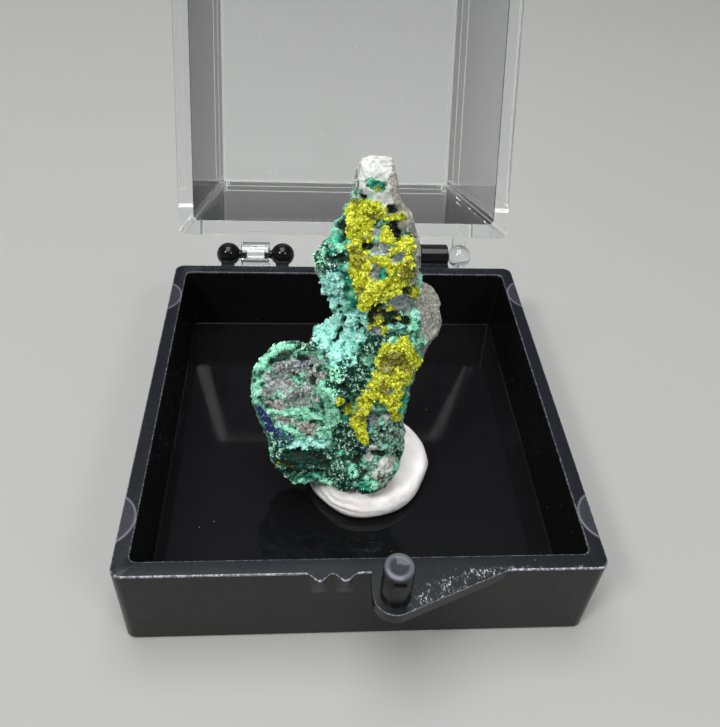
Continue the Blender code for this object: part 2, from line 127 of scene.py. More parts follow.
class Shapes:
    """Small mesh makers that the moulded parts share."""

    @staticmethod
    def rounded_rectangle(half: float, radius: float, z: float, centre_y: float = 0.0) -> Ring:
        """Makes the points of a rounded square, anticlockwise seen from above.

        Args:
            half: Half the side.
            radius: The corners' radius.
            z: The height of the ring.
            centre_y: The middle's place along Y.

        Returns:
            The ring's points.
        """
        steps, points = 6, []
        for turn, (sign_x, sign_y) in enumerate(((1, 1), (-1, 1), (-1, -1), (1, -1))):
            for step in range(steps + 1):
                angle = math.radians(90 * (turn + step / steps))
                x = sign_x * (half - radius) + radius * math.cos(angle)
                y = centre_y + sign_y * (half - radius) + radius * math.sin(angle)
                points.append(Vector((x, y, z)))
        return points

    @staticmethod
    def round_edge(half: float, z: float, reach: Pair, corner: float,
                   level_last: bool = False, centre_y: float = 0.0, steps: int = 2) -> list[Ring]:
        """Makes the rings of a quarter-round edge between an upright and a level face.

        Args:
            half: Half the side of the sharp edge that is rounded.
            z: The height of that sharp edge.
            reach: How far the round reaches from it, outwards and upwards.
            corner: The corners' radius, seen from above.
            level_last: Whether the rings go from the upright face to the level one.
            centre_y: The middle's place along Y.
            steps: The number of strips.

        Returns:
            The rings, in order along the surface.
        """
        rings = []
        for step in range(steps + 1):
            angle = math.radians(90 * step / steps)
            shares = 1 - math.sin(angle), 1 - math.cos(angle)
            across, rise = reversed(shares) if level_last else shares
            rings.append(Shapes.rounded_rectangle(half + reach[0] * across, corner,
                                                  z + reach[1] * rise, centre_y))
        return rings

    @staticmethod
    def loft(rings: Sequence[Ring]) -> BMesh:
        """Joins rings of equal length into one closed mesh with capped ends.

        Args:
            rings: The rings, in order along the surface.

        Returns:
            The closed mesh.
        """
        mesh = bmesh.new()
        rows = [[mesh.verts.new(point) for point in ring] for ring in rings]
        count = len(rows[0])
        for lower, upper in zip(rows, rows[1:]):
            for i in range(count):
                j = (i + 1) % count
                mesh.faces.new((lower[i], lower[j], upper[j], upper[i]))
        mesh.faces.new(list(reversed(rows[0])))
        mesh.faces.new(rows[-1])
        return mesh

    @staticmethod
    def turned(profile: Sequence[Pair], segments: int = 32) -> BMesh:
        """Turns a profile about Z.

        Args:
            profile: Pairs of radius and height, in order along the surface.
            segments: The number of sides.

        Returns:
            The closed mesh.
        """
        angles = [2 * math.pi * i / segments for i in range(segments)]
        rings = [[Vector((r * math.cos(a), r * math.sin(a), z)) for a in angles] for r, z in profile]
        return Shapes.loft(rings)

    @staticmethod
    def prism(outline: Sequence[Pair], low: float, high: float,
              edge: float = 0.0) -> BMesh:
        """Raises an outline in XY into a prism with softened edges.

        Args:
            outline: The outline's points, anticlockwise.
            low: The height of the underside.
            high: The height of the top.
            edge: How wide its edges are rounded.

        Returns:
            The closed mesh.
        """
        mesh = Shapes.loft([[Vector((x, y, z)) for x, y in outline] for z in (low, high)])
        if edge:
            sharp = [e for e in mesh.edges if e.calc_face_angle(0.0) > math.radians(35)]
            bmesh.ops.bevel(mesh, geom=sharp, offset=edge, segments=2, affect="EDGES", profile=0.6)
        return mesh

    @staticmethod
    def moved(mesh: BMesh, place: Sequence[float], along: Axis = Axis.Z) -> BMesh:
        """Lays a mesh along an axis and moves it to its place.

        Args:
            mesh: The mesh, made about Z.
            place: Where its origin goes.
            along: The axis that its Z is laid along.

        Returns:
            The same mesh.
        """
        turn = Matrix.Rotation(math.pi / 2, 4, "Y") if along is Axis.X else Matrix.Identity(4)
        bmesh.ops.transform(mesh, matrix=Matrix.Translation(place) @ turn, verts=mesh.verts)
        return mesh

    @staticmethod
    def to_object(name: str, mesh: BMesh, sharp: Optional[float] = None) -> Piece:
        """Makes an object from a mesh.

        Args:
            name: The object's name.
            mesh: The mesh, which is freed.
            sharp: The angle, in degrees, over which an edge stays sharp.

        Returns:
            The new object.
        """
        data = bpy.data.meshes.new(name)
        mesh.to_mesh(data)
        mesh.free()
        data.shade_smooth()
        if sharp is not None:
            data.set_sharp_from_angle(angle=math.radians(sharp))
        obj = bpy.data.objects.new(name, data)
        bpy.context.scene.collection.objects.link(obj)
        return obj

    @staticmethod
    def apply(obj: Piece) -> None:
        """Applies an object's modifiers."""
        graph = bpy.context.evaluated_depsgraph_get()
        data = bpy.data.meshes.new_from_object(obj.evaluated_get(graph))
        obj.modifiers.clear()
        obj.data = data

    @staticmethod
    def fused(name: str, base: BMesh, joined: Iterable[BMesh],
              cut: Iterable[BMesh], sharp: float = 28.0) -> Piece:
        """Joins shapes to a base, cuts others from it, and keeps one clean mesh.

        Args:
            name: The object's name.
            base: The main shape.
            joined: Shapes that are added to it.
            cut: Shapes that are taken away.
            sharp: The angle, in degrees, over which an edge stays sharp.

        Returns:
            The new object.
        """
        obj = Shapes.to_object(name, base)
        tools = []
        for operation, shapes in (("UNION", joined), ("DIFFERENCE", cut)):
            for shape in shapes:
                tool = Shapes.to_object(f"{name}_tool", shape)
                modifier = obj.modifiers.new(operation, "BOOLEAN")
                modifier.operation = operation
                modifier.object = tool
                modifier.solver = "EXACT"
                tools.append(tool)
        Shapes.apply(obj)
        for tool in tools:
            bpy.data.objects.remove(tool, do_unlink=True)
        obj.data.shade_smooth()
        obj.data.set_sharp_from_angle(angle=math.radians(sharp))
        obj.modifiers.new("Flat faces", "WEIGHTED_NORMAL").keep_sharp = True
        Shapes.apply(obj)
        return obj


class Nodes:
    """Writes the nodes of one shader tree."""

    def __init__(self, tree: bpy.types.NodeTree) -> None:
        """Keeps the tree that nodes are added to."""
        self.tree = tree

    def add(self, kind: str, **settings: object) -> Node:
        """Adds a node and sets its properties and unlinked inputs.

        Args:
            kind: The node's type, without its prefix.
            settings: Properties by name, and inputs as in_Name with spaces written as underscores.

        Returns:
            The node.
        """
        node = self.tree.nodes.new("ShaderNode" + kind)
        for key, value in settings.items():
            if not key.startswith("in_"):
                setattr(node, key, value)
        for key, value in settings.items():
            if key.startswith("in_"):
                self.put(value, node.inputs[key[3:].replace("_", " ")])
        return node

    def put(self, value: object, socket: Socket) -> None:
        """Links a socket, or sets its value.

        Args:
            value: A socket to link from, or a number, vector or colour.
            socket: The input.
        """
        if isinstance(value, Socket):
            self.tree.links.new(value, socket)
        elif isinstance(value, tuple) and len(value) == 3 and socket.type == "RGBA":
            socket.default_value = (*value, 1.0)
        else:
            socket.default_value = value

    def math(self, operation: str, first: object, second: object = 0.0,
             clamp: bool = False) -> Socket:
        """Adds a Math node.

        Args:
            operation: Its operation.
            first: The first operand.
            second: The second operand.
            clamp: Whether the result is kept between 0 and 1.

        Returns:
            The result.
        """
        node = self.add("Math", operation=operation, use_clamp=clamp)
        self.put(first, node.inputs[0])
        self.put(second, node.inputs[1])
        return node.outputs[0]

    def split(self, vector: object) -> bpy.types.bpy_prop_collection:
        """Splits a vector into its X, Y and Z."""
        return self.add("SeparateXYZ", in_Vector=vector).outputs

    def plus(self, first: object, second: object, clamp: bool = False) -> Socket:
        """Adds two numbers, and keeps the sum between 0 and 1 if asked."""
        return self.math("ADD", first, second, clamp)

    def minus(self, first: object, second: object) -> Socket:
        """Takes the second number from the first."""
        return self.math("SUBTRACT", first, second)

    def rest(self, share: object) -> Socket:
        """Takes a share from 1."""
        return self.math("SUBTRACT", 1.0, share)

    def times(self, first: object, second: object) -> Socket:
        """Multiplies two numbers."""
        return self.math("MULTIPLY", first, second)

    def absolute(self, value: object) -> Socket:
        """Drops a number's sign."""
        return self.math("ABSOLUTE", value)

    def mix(self, share: object, under: object, over: object,
            blend: str = "MIX") -> Socket:
        """Mixes two colours.

        Args:
            share: How much of the second one shows.
            under: The first colour.
            over: The second colour.
            blend: The blend mode.

        Returns:
            The mixed colour.
        """
        node = self.add("Mix", data_type="RGBA", blend_type=blend)
        self.put(share, node.inputs[0])
        self.put(under, node.inputs[6])
        self.put(over, node.inputs[7])
        return node.outputs[2]

    def blend_value(self, share: object, under: object, over: object) -> Socket:
        """Mixes two numbers.

        Args:
            share: How much of the second one counts.
            under: The first number.
            over: The second number.

        Returns:
            The mixed number.
        """
        node = self.add("Mix", data_type="FLOAT")
        self.put(share, node.inputs[0])
        self.put(under, node.inputs[2])
        self.put(over, node.inputs[3])
        return node.outputs[0]

    def step(self, value: object, low: object, high: object) -> Socket:
        """Adds a smooth step from 0 at low to 1 at high.

        Args:
            value: The number that is tested.
            low: Where the step starts.
            high: Where it ends.

        Returns:
            The step's value.
        """
        node = self.add("MapRange", interpolation_type="SMOOTHSTEP")
        self.put(value, node.inputs["Value"])
        self.put(low, node.inputs["From Min"])
        self.put(high, node.inputs["From Max"])
        return node.outputs["Result"]

    def noise(self, position: object, scale: object, detail: float = 3.0,
              roughness: float = 0.6) -> Socket:
        """Adds a noise texture.

        Args:
            position: Where it is read.
            scale: Its scale, per metre.
            detail: Its octaves.
            roughness: The strength of the finer octaves.

        Returns:
            Its value.
        """
        node = self.add("TexNoise", in_Vector=position, in_Scale=scale, in_Detail=detail,
                        in_Roughness=roughness)
        return node.outputs["Fac"]


class EffectGroup:
    """A node group with a position and named sockets that several materials share."""

    def __init__(self, name: str, inputs: dict[str, object], outputs: dict[str, str]) -> None:
        """Makes the empty group.

        Args:
            name: The group's name.
            inputs: Default values by socket name.
            outputs: Socket kinds by name, Color or Float.
        """
        self.tree = bpy.data.node_groups.new(name, "ShaderNodeTree")
        self.tree.interface.new_socket("Position", in_out="INPUT", socket_type="NodeSocketVector")
        for label, default in inputs.items():
            kind = "Color" if isinstance(default, tuple) else "Float"
            socket = self.tree.interface.new_socket(label, in_out="INPUT",
                                                    socket_type="NodeSocket" + kind)
            socket.default_value = (*default, 1.0) if kind == "Color" else default
        for label, kind in outputs.items():
            self.tree.interface.new_socket(label, in_out="OUTPUT",
                                           socket_type="NodeSocket" + kind)
        self.nodes = Nodes(self.tree)
        self.given = self.tree.nodes.new("NodeGroupInput").outputs
        self.result = self.tree.nodes.new("NodeGroupOutput").inputs

    def place(self, nodes: Nodes, **values: object) -> Node:
        """Places the group in a material.

        Args:
            nodes: The material's node writer.
            values: Inputs by name, with spaces written as underscores.

        Returns:
            The group's node.
        """
        node = nodes.tree.nodes.new("ShaderNodeGroup")
        node.node_tree = self.tree
        for key, value in values.items():
            nodes.put(value, node.inputs[key.replace("_", " ")])
        return node


class Effects:
    """The shared effects: mineral layers, dust, scratches, moulding marks and a painted edge highlight.
    """

    def __init__(self) -> None:
        """Builds every group once."""
        self.layer = self.mineral_layer()
        self.dust = self.dust_specks()
        self.scratches = self.fine_scratches()
        self.arc = self.pin_arc()
        self.edge_sheen = self.edge_highlight()
        self.rim_glint = self.box_edges()

    @staticmethod
    def mineral_layer() -> EffectGroup:
        """Makes the group that lays one ragged, grainy mineral over what is under it."""
        group = EffectGroup(
            "mineral layer",
            {"Under": (0.5, 0.5, 0.5), "Under Roughness": 0.5,
             "Under Height": 0.0, "Mask": 0.0, "Light": (0.8, 0.8, 0.8), "Dark": (0.1, 0.1, 0.1),
             "Fleck": (1.0, 1.0, 1.0), "Fleck Amount": 0.2, "Grain Scale": 3000.0, "Ragged": 0.3,
             "Roughness": 0.6, "Relief": 0.5, "Contrast": 0.5},
            {"Colour": "Color", "Roughness": "Float", "Height": "Float"})
        given, nodes = group.given, group.nodes
        edge_noise = nodes.noise(given["Position"], 2600.0, 4.0, 0.65)
        shift = nodes.times(nodes.minus(edge_noise, 0.5), given["Ragged"])
        mask = nodes.step(nodes.plus(given["Mask"], shift), 0.42, 0.58)
        grain = nodes.noise(given["Position"], given["Grain Scale"], 3.0, 0.7)
        spread = nodes.times(nodes.minus(grain, 0.5), given["Contrast"])
        tone = nodes.plus(nodes.times(spread, 4.0), 0.5, clamp=True)
        colour = nodes.mix(tone, given["Dark"], given["Light"])
        far = nodes.add("VectorMath", operation="ADD", in_Vector=given["Position"])
        far.inputs[1].default_value = (0.013, 0.029, 0.017)
        flecks = nodes.noise(far.outputs[0], nodes.times(given["Grain Scale"], 1.9), 1.0, 0.5)
        limit = nodes.minus(0.72, nodes.times(given["Fleck Amount"], 0.3))
        spots = nodes.step(flecks, limit, nodes.plus(limit, 0.05))
        colour = nodes.mix(spots, colour, given["Fleck"])
        height = nodes.times(tone, given["Relief"])
        nodes.put(nodes.mix(mask, given["Under"], colour), group.result["Colour"])
        rough = nodes.blend_value(mask, given["Under Roughness"], given["Roughness"])
        nodes.put(rough, group.result["Roughness"])
        nodes.put(nodes.blend_value(mask, given["Under Height"], height), group.result["Height"])
        return group

    @staticmethod
    def dust_specks() -> EffectGroup:
        """Makes the group that strews small specks of dust."""
        group = EffectGroup("dust specks", {"Spacing": 900.0, "Size": 0.08,
                                            "Share": 0.3}, {"Mask": "Float"})
        given, nodes = group.given, group.nodes
        cells = nodes.add("TexVoronoi", feature="F1", in_Vector=given["Position"],
                          in_Scale=given["Spacing"])
        spot = nodes.rest(nodes.step(cells.outputs["Distance"], 0.0, given["Size"]))
        parts = nodes.add("SeparateColor", in_Color=cells.outputs["Color"])
        kept = nodes.math("LESS_THAN", parts.outputs[0], given["Share"])
        nodes.put(nodes.times(spot, kept), group.result["Mask"])
        return group

    @staticmethod
    def fine_scratches() -> EffectGroup:
        """Makes the group that draws hairline scratches in two directions."""
        group = EffectGroup("fine scratches", {"Scale": 260.0, "Amount": 0.5},
                            {"Mask": "Float"})
        given, nodes = group.given, group.nodes
        total: object = 0.0
        for turn, stretch in ((0.5, 22.0), (-0.9, 30.0)):
            mapped = nodes.add("Mapping", in_Vector=given["Position"])
            mapped.inputs["Rotation"].default_value = (0.2, 0.1, turn)
            mapped.inputs["Scale"].default_value = (1.0, stretch, 1.0)
            lines = nodes.noise(mapped.outputs[0], given["Scale"], 2.0, 0.5)
            thin = nodes.absolute(nodes.minus(lines, 0.5))
            line = nodes.rest(nodes.step(thin, 0.0, 0.004))
            total = nodes.plus(total, line, clamp=True)
        patch = nodes.noise(given["Position"], 190.0, 2.0, 0.5)
        shown = nodes.times(total, nodes.step(patch, 0.5, 0.62))
        nodes.put(nodes.times(shown, given["Amount"]), group.result["Mask"])
        return group

    @staticmethod
    def pin_arc() -> EffectGroup:
        """Makes the group that draws the round mark that an ejector pin leaves on a rim."""
        group = EffectGroup("ejector arc", {"Centre X": 0.0, "Centre Y": 0.0,
                                            "Radius": 0.002, "Width": 0.0001},
                            {"Mask": "Float", "Inside": "Float"})
        given, nodes = group.given, group.nodes
        parts = nodes.split(given["Position"])
        x = nodes.minus(parts[0], given["Centre X"])
        y = nodes.minus(parts[1], given["Centre Y"])
        reach = nodes.math("SQRT", nodes.plus(nodes.times(x, x), nodes.times(y, y)))
        off = nodes.absolute(nodes.minus(reach, given["Radius"]))
        nodes.put(nodes.rest(nodes.step(off, 0.0, given["Width"])), group.result["Mask"])
        nodes.put(nodes.math("LESS_THAN", reach, given["Radius"]), group.result["Inside"])
        return group

    @staticmethod
    def edge_highlight() -> EffectGroup:
        """Makes the group that paints a highlight on the narrow edge below a given height, broken into
        sparkles.
        """
        group = EffectGroup("painted edge highlight", {"Top": 0.0, "Width": 0.0001,
                                          "Sparkle Scale": 5200.0},
                            {"Mask": "Float", "Sparkle": "Float"})
        given, nodes = group.given, group.nodes
        height = nodes.split(given["Position"])[2]
        under = nodes.minus(given["Top"], height)
        low = nodes.rest(nodes.step(under, given["Width"], nodes.times(given["Width"], 1.3)))
        mask = nodes.times(low, nodes.step(under, 0.000002, 0.00001))
        shine = nodes.step(nodes.noise(given["Position"], given["Sparkle Scale"], 2.0, 0.6), 0.42, 0.66)
        nodes.put(mask, group.result["Mask"])
        nodes.put(nodes.times(mask, shine), group.result["Sparkle"])
        return group

    @staticmethod
    def box_edges() -> EffectGroup:
        """Makes the group that finds the edges and corners of an upright box about the Z axis."""
        group = EffectGroup("box edges", {"Half": 0.01, "Draft": 0.0, "Top": 0.02,
                                          "Width": 0.0003}, {"Mask": "Float"})
        given, nodes = group.given, group.nodes
        parts = nodes.split(given["Position"])
        half = nodes.minus(given["Half"], nodes.times(parts[2], given["Draft"]))
        near: object = 0.0
        for axis in (0, 1):
            gap = nodes.absolute(nodes.minus(nodes.absolute(parts[axis]), half))
            near = nodes.plus(near, nodes.math("LESS_THAN", gap, given["Width"]))
        gap = nodes.absolute(nodes.minus(parts[2], given["Top"]))
        near = nodes.plus(near, nodes.math("LESS_THAN", gap, given["Width"]))
        nodes.put(nodes.math("GREATER_THAN", near, 1.5), group.result["Mask"])
        return group


def new_material(name: str) -> tuple[Material, Nodes, Node]:
    """Makes a material with one Principled shader.

    Args:
        name: The material's name.

    Returns:
        The material, a writer for its nodes, and the shader node.
    """
    made = bpy.data.materials.new(name)
    made.use_nodes = True
    return made, Nodes(made.node_tree), made.node_tree.nodes["Principled BSDF"]


def relief(nodes: Nodes, shader: Node, height: object, distance: float, strength: float) -> None:
    """Feeds a height to a shader's normal through one Bump node.

    Args:
        nodes: The material's node writer.
        shader: The Principled shader.
        height: The height, 0 to 1.
        distance: What a height of 1 measures, in metres.
        strength: The bump's strength.
    """
    bump = nodes.add("Bump", in_Height=height, in_Distance=distance, in_Strength=strength)
    nodes.put(bump.outputs["Normal"], shader.inputs["Normal"])


@dataclass(frozen=True)
class BlackPlastic:
    """Glossy black polystyrene with hairline scratches, dust and pin marks on its rim, and a painted
    highlight along the rim's edge.
    """

    effects: Effects
    colour: Colour = (0.0045, 0.0045, 0.005)
    rim: Colour = (0.0085, 0.0095, 0.0125)
    # The lighter colour of the marks on the rim, and of the painted edge highlight.
    marks_and_sheen: Colour = (0.11, 0.115, 0.135)
    glint: Colour = (0.62, 0.63, 0.68)
    dust_colour: Colour = (0.32, 0.32, 0.33)
    roughness: float = 0.06
    ior: float = 1.59
    specular: float = 0.2
    dot_scale: float = 9800.0
    row_scale: float = 1300.0
    slant_slope: float = 0.36
    slant: Pair = (-0.01845, -0.0178)
    post: tuple[float, float, float, float] = (0.0018, -0.017275, 0.00097, 0.003)
    web: tuple[float, float, float, float] = (-0.0012, -0.0099, 0.0036, 0.0011)
    arcs: tuple[Triple, ...] = (
        (-0.01693, -0.0117, 0.0020), (0.01690, -0.01195, 0.0020),
        (-0.01690, 0.0113, 0.00203), (0.01688, 0.0119, 0.0020))

    def rim_marks(self, nodes: Nodes, place: object, on_rim: object) -> tuple[object, object]:
        """Draws the pins' round marks on the rim.

        Args:
            nodes: The material's node writer.
            place: Where they are read.
            on_rim: The mask of the rim's top.

        Returns:
            The masks of the marks' lines and of their insides.
        """
        lines: object = 0.0
        inside: object = 0.0
        for x, y, radius in self.arcs:
            arc = self.effects.arc.place(nodes, Position=place, Centre_X=x, Centre_Y=y, Radius=radius,
                                         Width=0.00013)
            lines = nodes.plus(lines, arc.outputs[0], clamp=True)
            inside = nodes.plus(inside, arc.outputs[1], clamp=True)
        return nodes.times(lines, on_rim), nodes.times(inside, on_rim)

    def post_end(self, nodes: Nodes, place: object, height: object) -> tuple[object, object]:
        """Finds the end of the latch post.

        Args:
            nodes: The material's node writer.
            place: Where it is read.
            height: The height above the ground.

        Returns:
            The masks of the ring round its end and of the dish within.
        """
        x, y, radius, rise = self.post
        ring = self.effects.arc.place(nodes, Position=place, Centre_X=x, Centre_Y=y,
                                      Radius=radius * 0.78, Width=radius * 0.3)
        above = nodes.step(height, RIM_Z + rise - 0.00024, RIM_Z + rise - 0.0002)
        return nodes.times(ring.outputs[0], above), nodes.times(ring.outputs[1], above)

    @staticmethod
    def outer_edge(nodes: Nodes, place: object) -> object:
        """Weighs the painted edge highlight: strong along the front's outer edge, weak along the other
        edges.

        Args:
            nodes: The material's node writer.
            place: Where it is read.

        Returns:
            The weight, 0 to 1.
        """
        depth = nodes.split(place)[1]
        front = nodes.rest(nodes.step(depth, -HALF_SIDE + 0.00012, -HALF_SIDE + 0.0002))
        return nodes.plus(nodes.times(front, 0.75), 0.25)

    def scratched(self, nodes: Nodes, place: object, top: object, on_rim: object) -> object:
        """Weighs the scratches: the rim, and one web of them on the floor before the putty.

        Args:
            nodes: The material's node writer.
            place: Where it is read.
            top: How far the surface faces up.
            on_rim: The mask of the rim's top.

        Returns:
            The weight, 0 to 1.
        """
        parts = nodes.split(place)
        spread: object = 0.0
        for axis, (middle, half) in enumerate(zip(self.web[:2], self.web[2:])):
            off = nodes.math("DIVIDE", nodes.minus(parts[axis], middle), half)
            spread = nodes.plus(spread, nodes.times(off, off))
        near = nodes.rest(nodes.step(spread, 0.4, 1.2))
        near = nodes.times(near, nodes.step(top, 0.6, 0.9))
        return nodes.plus(near, nodes.times(on_rim, 0.5), clamp=True)

    def tab_scuffs(self, nodes: Nodes, place: object, on_rim: object) -> object:
        """Draws rows of short bright scuffs on the latch tab, thickest along its slanted edge.

        Args:
            nodes: The material's node writer.
            place: Where they are read.
            on_rim: The mask of the rim's top.

        Returns:
            The mask of the scuffs.
        """
        parts = nodes.split(place)
        ahead = nodes.rest(nodes.step(parts[1], -0.0159, -0.0155))
        right = nodes.step(parts[0], 0.0024, 0.0030)
        mapped = nodes.add("Mapping", in_Vector=place)
        mapped.inputs["Scale"].default_value = (1.0, 0.5, 1.0)
        dots = nodes.step(nodes.noise(mapped.outputs[0], self.dot_scale, 2.0, 0.7), 0.52, 0.66)
        slant = nodes.minus(parts[1], nodes.times(parts[0], self.slant_slope))
        along = nodes.rest(nodes.step(slant, *self.slant))
        rows = nodes.step(nodes.noise(place, self.row_scale, 2.0, 0.5), 0.42, 0.6)
        rows = nodes.times(rows, along)
        found = nodes.times(nodes.times(dots, rows), nodes.times(ahead, right))
        return nodes.times(found, on_rim)

    def make(self) -> Material:
        """Builds the material."""
        material, nodes, shader = new_material("black polystyrene")
        place = nodes.add("TexCoord").outputs["Object"]
        height = nodes.split(place)[2]
        top = nodes.split(nodes.add("NewGeometry").outputs["Normal"])[2]
        level = nodes.times(nodes.step(height, RIM_Z - 0.00022, RIM_Z - 0.00018),
                           nodes.rest(nodes.step(height, RIM_Z + 0.0001, RIM_Z + 0.0002)))
        on_rim = nodes.times(level, nodes.step(top, 0.85, 0.99))
        lines, inside = self.rim_marks(nodes, place, on_rim)
        ring, dish = self.post_end(nodes, place, height)
        # Painted highlight along the rim's edge: a lighter line, with sparkles in the glint colour.
        edge_sheen = self.effects.edge_sheen.place(nodes, Position=place, Top=RIM_Z, Width=0.00011)
        scuffs = self.tab_scuffs(nodes, place, on_rim)
        scratches = self.effects.scratches.place(nodes, Position=place, Amount=0.7).outputs[0]
        scratches = nodes.times(scratches, self.scratched(nodes, place, top, on_rim))
        specks = self.effects.dust.place(nodes, Position=place, Spacing=620.0, Size=0.055, Share=0.14)
        lint = self.effects.dust.place(nodes, Position=place, Spacing=1900.0, Size=0.1, Share=0.03)
        dust = nodes.plus(specks.outputs[0], lint.outputs[0], clamp=True)
        cloud = nodes.step(nodes.noise(place, 420.0, 4.0, 0.65), 0.4, 0.75)
        colour = nodes.mix(on_rim, self.colour, self.rim)
        colour = nodes.mix(nodes.times(inside, 0.2), colour, self.marks_and_sheen)
        colour = nodes.mix(nodes.times(dish, 0.3), colour, self.marks_and_sheen)
        # One lighter colour serves real scratches and pin marks, the ring and dish on the post's end,
        # and the painted edge highlight.
        marks_and_sheen = nodes.plus(nodes.times(scratches, 0.45), lines, clamp=True)
        marks_and_sheen = nodes.plus(marks_and_sheen, nodes.times(ring, 0.9), clamp=True)
        outside = self.outer_edge(nodes, place)
        marks_and_sheen = nodes.plus(marks_and_sheen, nodes.times(edge_sheen.outputs[0], outside), clamp=True)
        colour = nodes.mix(marks_and_sheen, colour, self.marks_and_sheen)
        # Painted highlight: the edge's sparkles take the glint colour, and so do the tab's scuffs.
        bright = nodes.plus(nodes.times(edge_sheen.outputs[1], outside), scuffs, clamp=True)
        colour = nodes.mix(nodes.times(bright, 0.7), colour, self.glint)
        colour = nodes.mix(nodes.times(dust, 0.8), colour, self.dust_colour)
        nodes.put(colour, shader.inputs["Base Color"])
        wall = nodes.rest(nodes.step(nodes.absolute(top), 0.3, 0.6))
        matt = nodes.plus(nodes.times(on_rim, 0.2), nodes.times(wall, 0.2))
        rough = nodes.plus(self.roughness, nodes.times(cloud, 0.05))
        rough = nodes.plus(nodes.plus(rough, matt), nodes.times(dust, 0.5))
        nodes.put(nodes.plus(rough, nodes.times(bright, 0.3)), shader.inputs["Roughness"])
        shader.inputs["IOR"].default_value = self.ior
        shader.inputs["Specular IOR Level"].default_value = self.specular
        bumps = nodes.minus(nodes.times(dust, 0.6), marks_and_sheen)
        bumps = nodes.plus(bumps, nodes.times(nodes.times(wall, cloud), 0.35))
        relief(nodes, shader, bumps, 0.00004, 0.5)
        return material


@dataclass(frozen=True)
class ClearPlastic:
    """Clear polystyrene with faint scratches, specks of dust and frosted edges."""

    effects: Effects
    turn: Matrix
    outer: Triple
    inner: Triple
    tint: Colour = (0.985, 0.99, 1.0)
    roughness: float = 0.008
    frost: float = 0.42
    ior: float = 1.56
    edge_widths: Pair = (0.00024, 0.00016)

    def make(self) -> Material:
        """Builds the material."""
        material, nodes, shader = new_material("clear polystyrene")
        place = nodes.add("TexCoord").outputs["Object"]
        closed = nodes.add("Mapping", in_Vector=place)
        closed.inputs["Location"].default_value = self.turn.translation
        closed.inputs["Rotation"].default_value = self.turn.to_euler()
        edges: object = 0.0
        for (half, draft, top), width in zip((self.outer, self.inner), self.edge_widths):
            found = self.effects.rim_glint.place(nodes, Position=closed.outputs[0], Half=half,
                                                 Draft=draft, Top=top, Width=width)
            edges = nodes.plus(edges, found.outputs[0], clamp=True)
        scratches = self.effects.scratches.place(nodes, Position=place, Scale=200.0, Amount=0.5)
        specks = self.effects.dust.place(nodes, Position=place, Spacing=520.0, Size=0.05, Share=0.10)
        rough = nodes.plus(self.roughness, nodes.times(scratches.outputs[0], 0.2))
        rough = nodes.plus(rough, nodes.times(specks.outputs[0], 0.5))
        rough = nodes.plus(rough, nodes.times(edges, self.frost), clamp=True)
        nodes.put(rough, shader.inputs["Roughness"])
        shader.inputs["Base Color"].default_value = (*self.tint, 1.0)
        shader.inputs["Transmission Weight"].default_value = 1.0
        shader.inputs["IOR"].default_value = self.ior
        return material


@dataclass(frozen=True)
class PuttyFinish:
    """White mounting putty with finger prints, and painted shade in the low places of its bump."""

    colour: Colour = srgb(254, 252, 250)
    hollow_shade: Colour = srgb(240, 234, 231)
    soak: float = 0.12
    soak_reach: Colour = (0.4, 0.3, 0.25)
    soak_scale: float = 0.0008

    def make(self) -> Material:
        """Builds the material."""
        material, nodes, shader = new_material("white putty")
        place = nodes.add("TexCoord").outputs["Object"]
        broad = nodes.noise(place, 700.0, 4.0, 0.6)
        fine = nodes.noise(place, 4200.0, 3.0, 0.6)
        warped = nodes.add("TexWave", wave_type="BANDS", bands_direction="DIAGONAL", in_Vector=place,
                           in_Scale=520.0, in_Distortion=5.0, in_Detail=2.0)
        # Painted shade: the colour darkens where the broad bump is low.
        colour = nodes.mix(nodes.step(broad, 0.35, 0.6), self.hollow_shade, self.colour)
        nodes.put(colour, shader.inputs["Base Color"])
        nodes.put(nodes.blend_value(fine, 0.5, 0.72), shader.inputs["Roughness"])
        shader.inputs["Subsurface Weight"].default_value = self.soak
        shader.inputs["Subsurface Radius"].default_value = self.soak_reach
        shader.inputs["Subsurface Scale"].default_value = self.soak_scale
        height = nodes.plus(nodes.times(fine, 0.5), nodes.times(broad, 0.8))
        height = nodes.plus(height, nodes.times(warped.outputs["Fac"], 0.12))
        relief(nodes, shader, height, 0.00012, 0.7)
        return material


@dataclass(frozen=True)
class Layer:
    """The look of one kind of surface on the specimen."""

    surface: Surface
    light: Colour
    dark: Colour
    fleck: Colour
    fleck_amount: float = 0.2
    grain: float = 3000.0
    ragged: float = 0.5
    roughness: float = 0.65
    relief: float = 0.5
    contrast: float = 0.6


